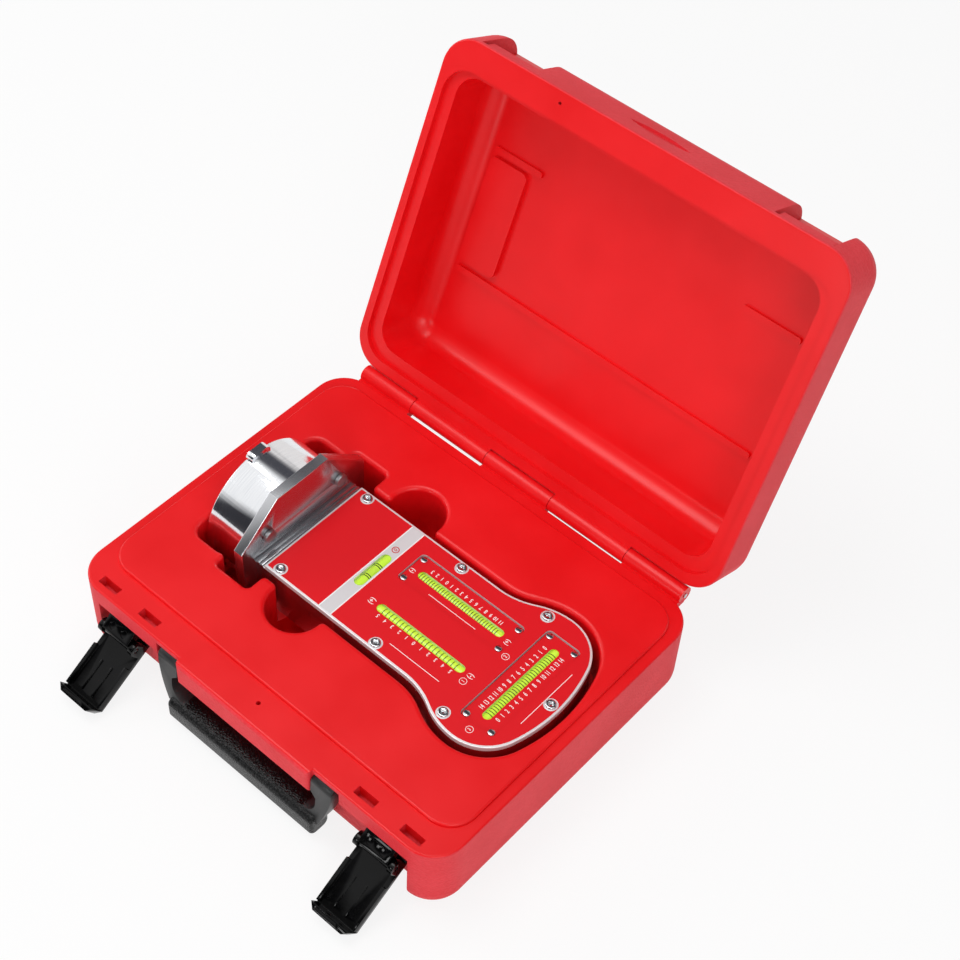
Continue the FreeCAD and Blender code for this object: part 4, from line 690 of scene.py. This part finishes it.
spring_wire, shader = finish("spring_steel_wire", Base_Color=linear("A9AAAD"), Metallic=1.0,
                             Roughness=0.3)
mottle(spring_wire, shader, 0.0004, bump=(0.1, 0.0001))

# The spring stands against the cup's floor; it is a copy of the solid with a mesh of its own,
# riding on the gauge.
spring = bpy.data.objects.new("plunger_spring_coil", cad["plunger_spring"].data.copy())
bpy.context.collection.objects.link(spring)
coat(spring, spring_wire)
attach(spring, "gauge")
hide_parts("plunger_spring")
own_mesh(spring)

# ---- Studio -------------------------------------------------------------------------------
# A plain white sweep, four soft lamps, and the camera over the front right corner of the case.
bpy.ops.object.select_all(action="DESELECT")
bpy.ops.mesh.primitive_plane_add(size=12, location=(0, 0, solid_box[0][2] - 0.0002))
floor = bpy.context.object
floor.name = "studio_floor"
bpy.ops.object.transform_apply(location=True, rotation=True, scale=True)
white_sweep, shader = finish("white_paper_sweep", Base_Color=linear("F4F4F4"), Roughness=0.9)
path = add(white_sweep, "ShaderNodeLightPath").outputs
lift = add(white_sweep, "ShaderNodeEmission", {"Color": (1, 1, 1, 1), "Strength": 1.0})
seen = add(white_sweep, "ShaderNodeMath", {0: path["Is Camera Ray"], 1: path["Is Glossy Ray"]},
           operation="ADD")
seen = add(white_sweep, "ShaderNodeMath", {0: seen.outputs["Value"],
                                           1: path["Is Transmission Ray"]}, operation="ADD")
share = add(white_sweep, "ShaderNodeMath", {0: seen.outputs["Value"], 1: 0.85},
            operation="MULTIPLY")
mixed = add(white_sweep, "ShaderNodeMixShader", {"Fac": share.outputs["Value"],
                                                 1: shader.outputs["BSDF"],
                                                 2: lift.outputs["Emission"]})
white_sweep.node_tree.links.new(mixed.outputs["Shader"],
                                white_sweep.node_tree.nodes["Material Output"].inputs["Surface"])
floor.data.materials.append(white_sweep)

# The room lights the object evenly and is seen as plain white. Polished metal mirrors a white
# room that is dim straight in front and in one broad ring towards the back.
world = bpy.data.worlds.new("studio")
bpy.context.scene.world = world
world.use_nodes = True
around = world.node_tree.nodes["Background"]
around.inputs["Color"].default_value = (1, 1, 1, 1)
around.inputs["Strength"].default_value = 0.42
way = add(world, "ShaderNodeTexCoord").outputs["Generated"]
depth = add(world, "ShaderNodeSeparateXYZ", {"Vector": way}).outputs["Y"]
share = add(world, "ShaderNodeMapRange", {"Value": depth, "From Min": -1.0})
room = add(world, "ShaderNodeValToRGB", {"Fac": share.outputs["Result"]},
           ramp=((0.11, "333338"), (0.18, "FFFFFF"), (0.61, "FFFFFF"), (0.67, "4A4A50"),
                 (0.79, "4A4A50"), (0.87, "F0ECEA")))
mirrored = add(world, "ShaderNodeBackground", {"Color": room.outputs["Color"]})
backdrop = add(world, "ShaderNodeBackground", {"Color": (1, 1, 1, 1)})
path = add(world, "ShaderNodeLightPath").outputs
blend = add(world, "ShaderNodeMixShader", {"Fac": path["Is Glossy Ray"],
                                           1: around.outputs["Background"],
                                           2: mirrored.outputs["Background"]})
seen = add(world, "ShaderNodeMath", {0: path["Is Camera Ray"], 1: path["Is Transmission Ray"]},
           operation="ADD", use_clamp=True)
blend = add(world, "ShaderNodeMixShader", {"Fac": seen.outputs["Value"],
                                           1: blend.outputs["Shader"],
                                           2: backdrop.outputs["Background"]})
world.node_tree.links.new(blend.outputs["Shader"],
                          world.node_tree.nodes["World Output"].inputs["Surface"])

lit_point = Vector((0, 0, 0.05))
for name, power, size, place in (("lamp_above", 8.3, 0.8, (-0.35, -0.15, 1.5)),
                                 ("lamp_front", 7.0, 0.7, (1.2, -0.9, 0.9)),
                                 ("lamp_left", 3.5, 0.6, (-1.3, -0.3, 0.8)),
                                 ("lamp_low", 1.2, 0.2, (-0.10, -1.02, 0.40))):
    light = bpy.data.lights.new(name, "AREA")
    light.energy = power
    light.size = size
    lamp = bpy.data.objects.new(name, light)
    bpy.context.collection.objects.link(lamp)
    lamp.location = place
    lamp.rotation_euler = (lit_point - Vector(place)).to_track_quat("-Z", "Y").to_euler()

camera_data = bpy.data.cameras.new("camera")
sensor_mm, focal_pixels, frame_pixels = 36, 1878.5, 960
camera_data.sensor_width = sensor_mm
camera_data.lens = sensor_mm * focal_pixels / frame_pixels
camera = bpy.data.objects.new("camera", camera_data)
bpy.context.collection.objects.link(camera)
camera.matrix_world = Matrix(((0.746785, -0.529131, 0.402904, 0.41897),
                              (0.663767, 0.555160, -0.501209, -0.44507),
                              (0.041529, 0.641730, 0.765805, 0.88144),
                              (0, 0, 0, 1)))
bpy.context.scene.camera = camera
bpy.context.scene.view_settings.view_transform = "Standard"
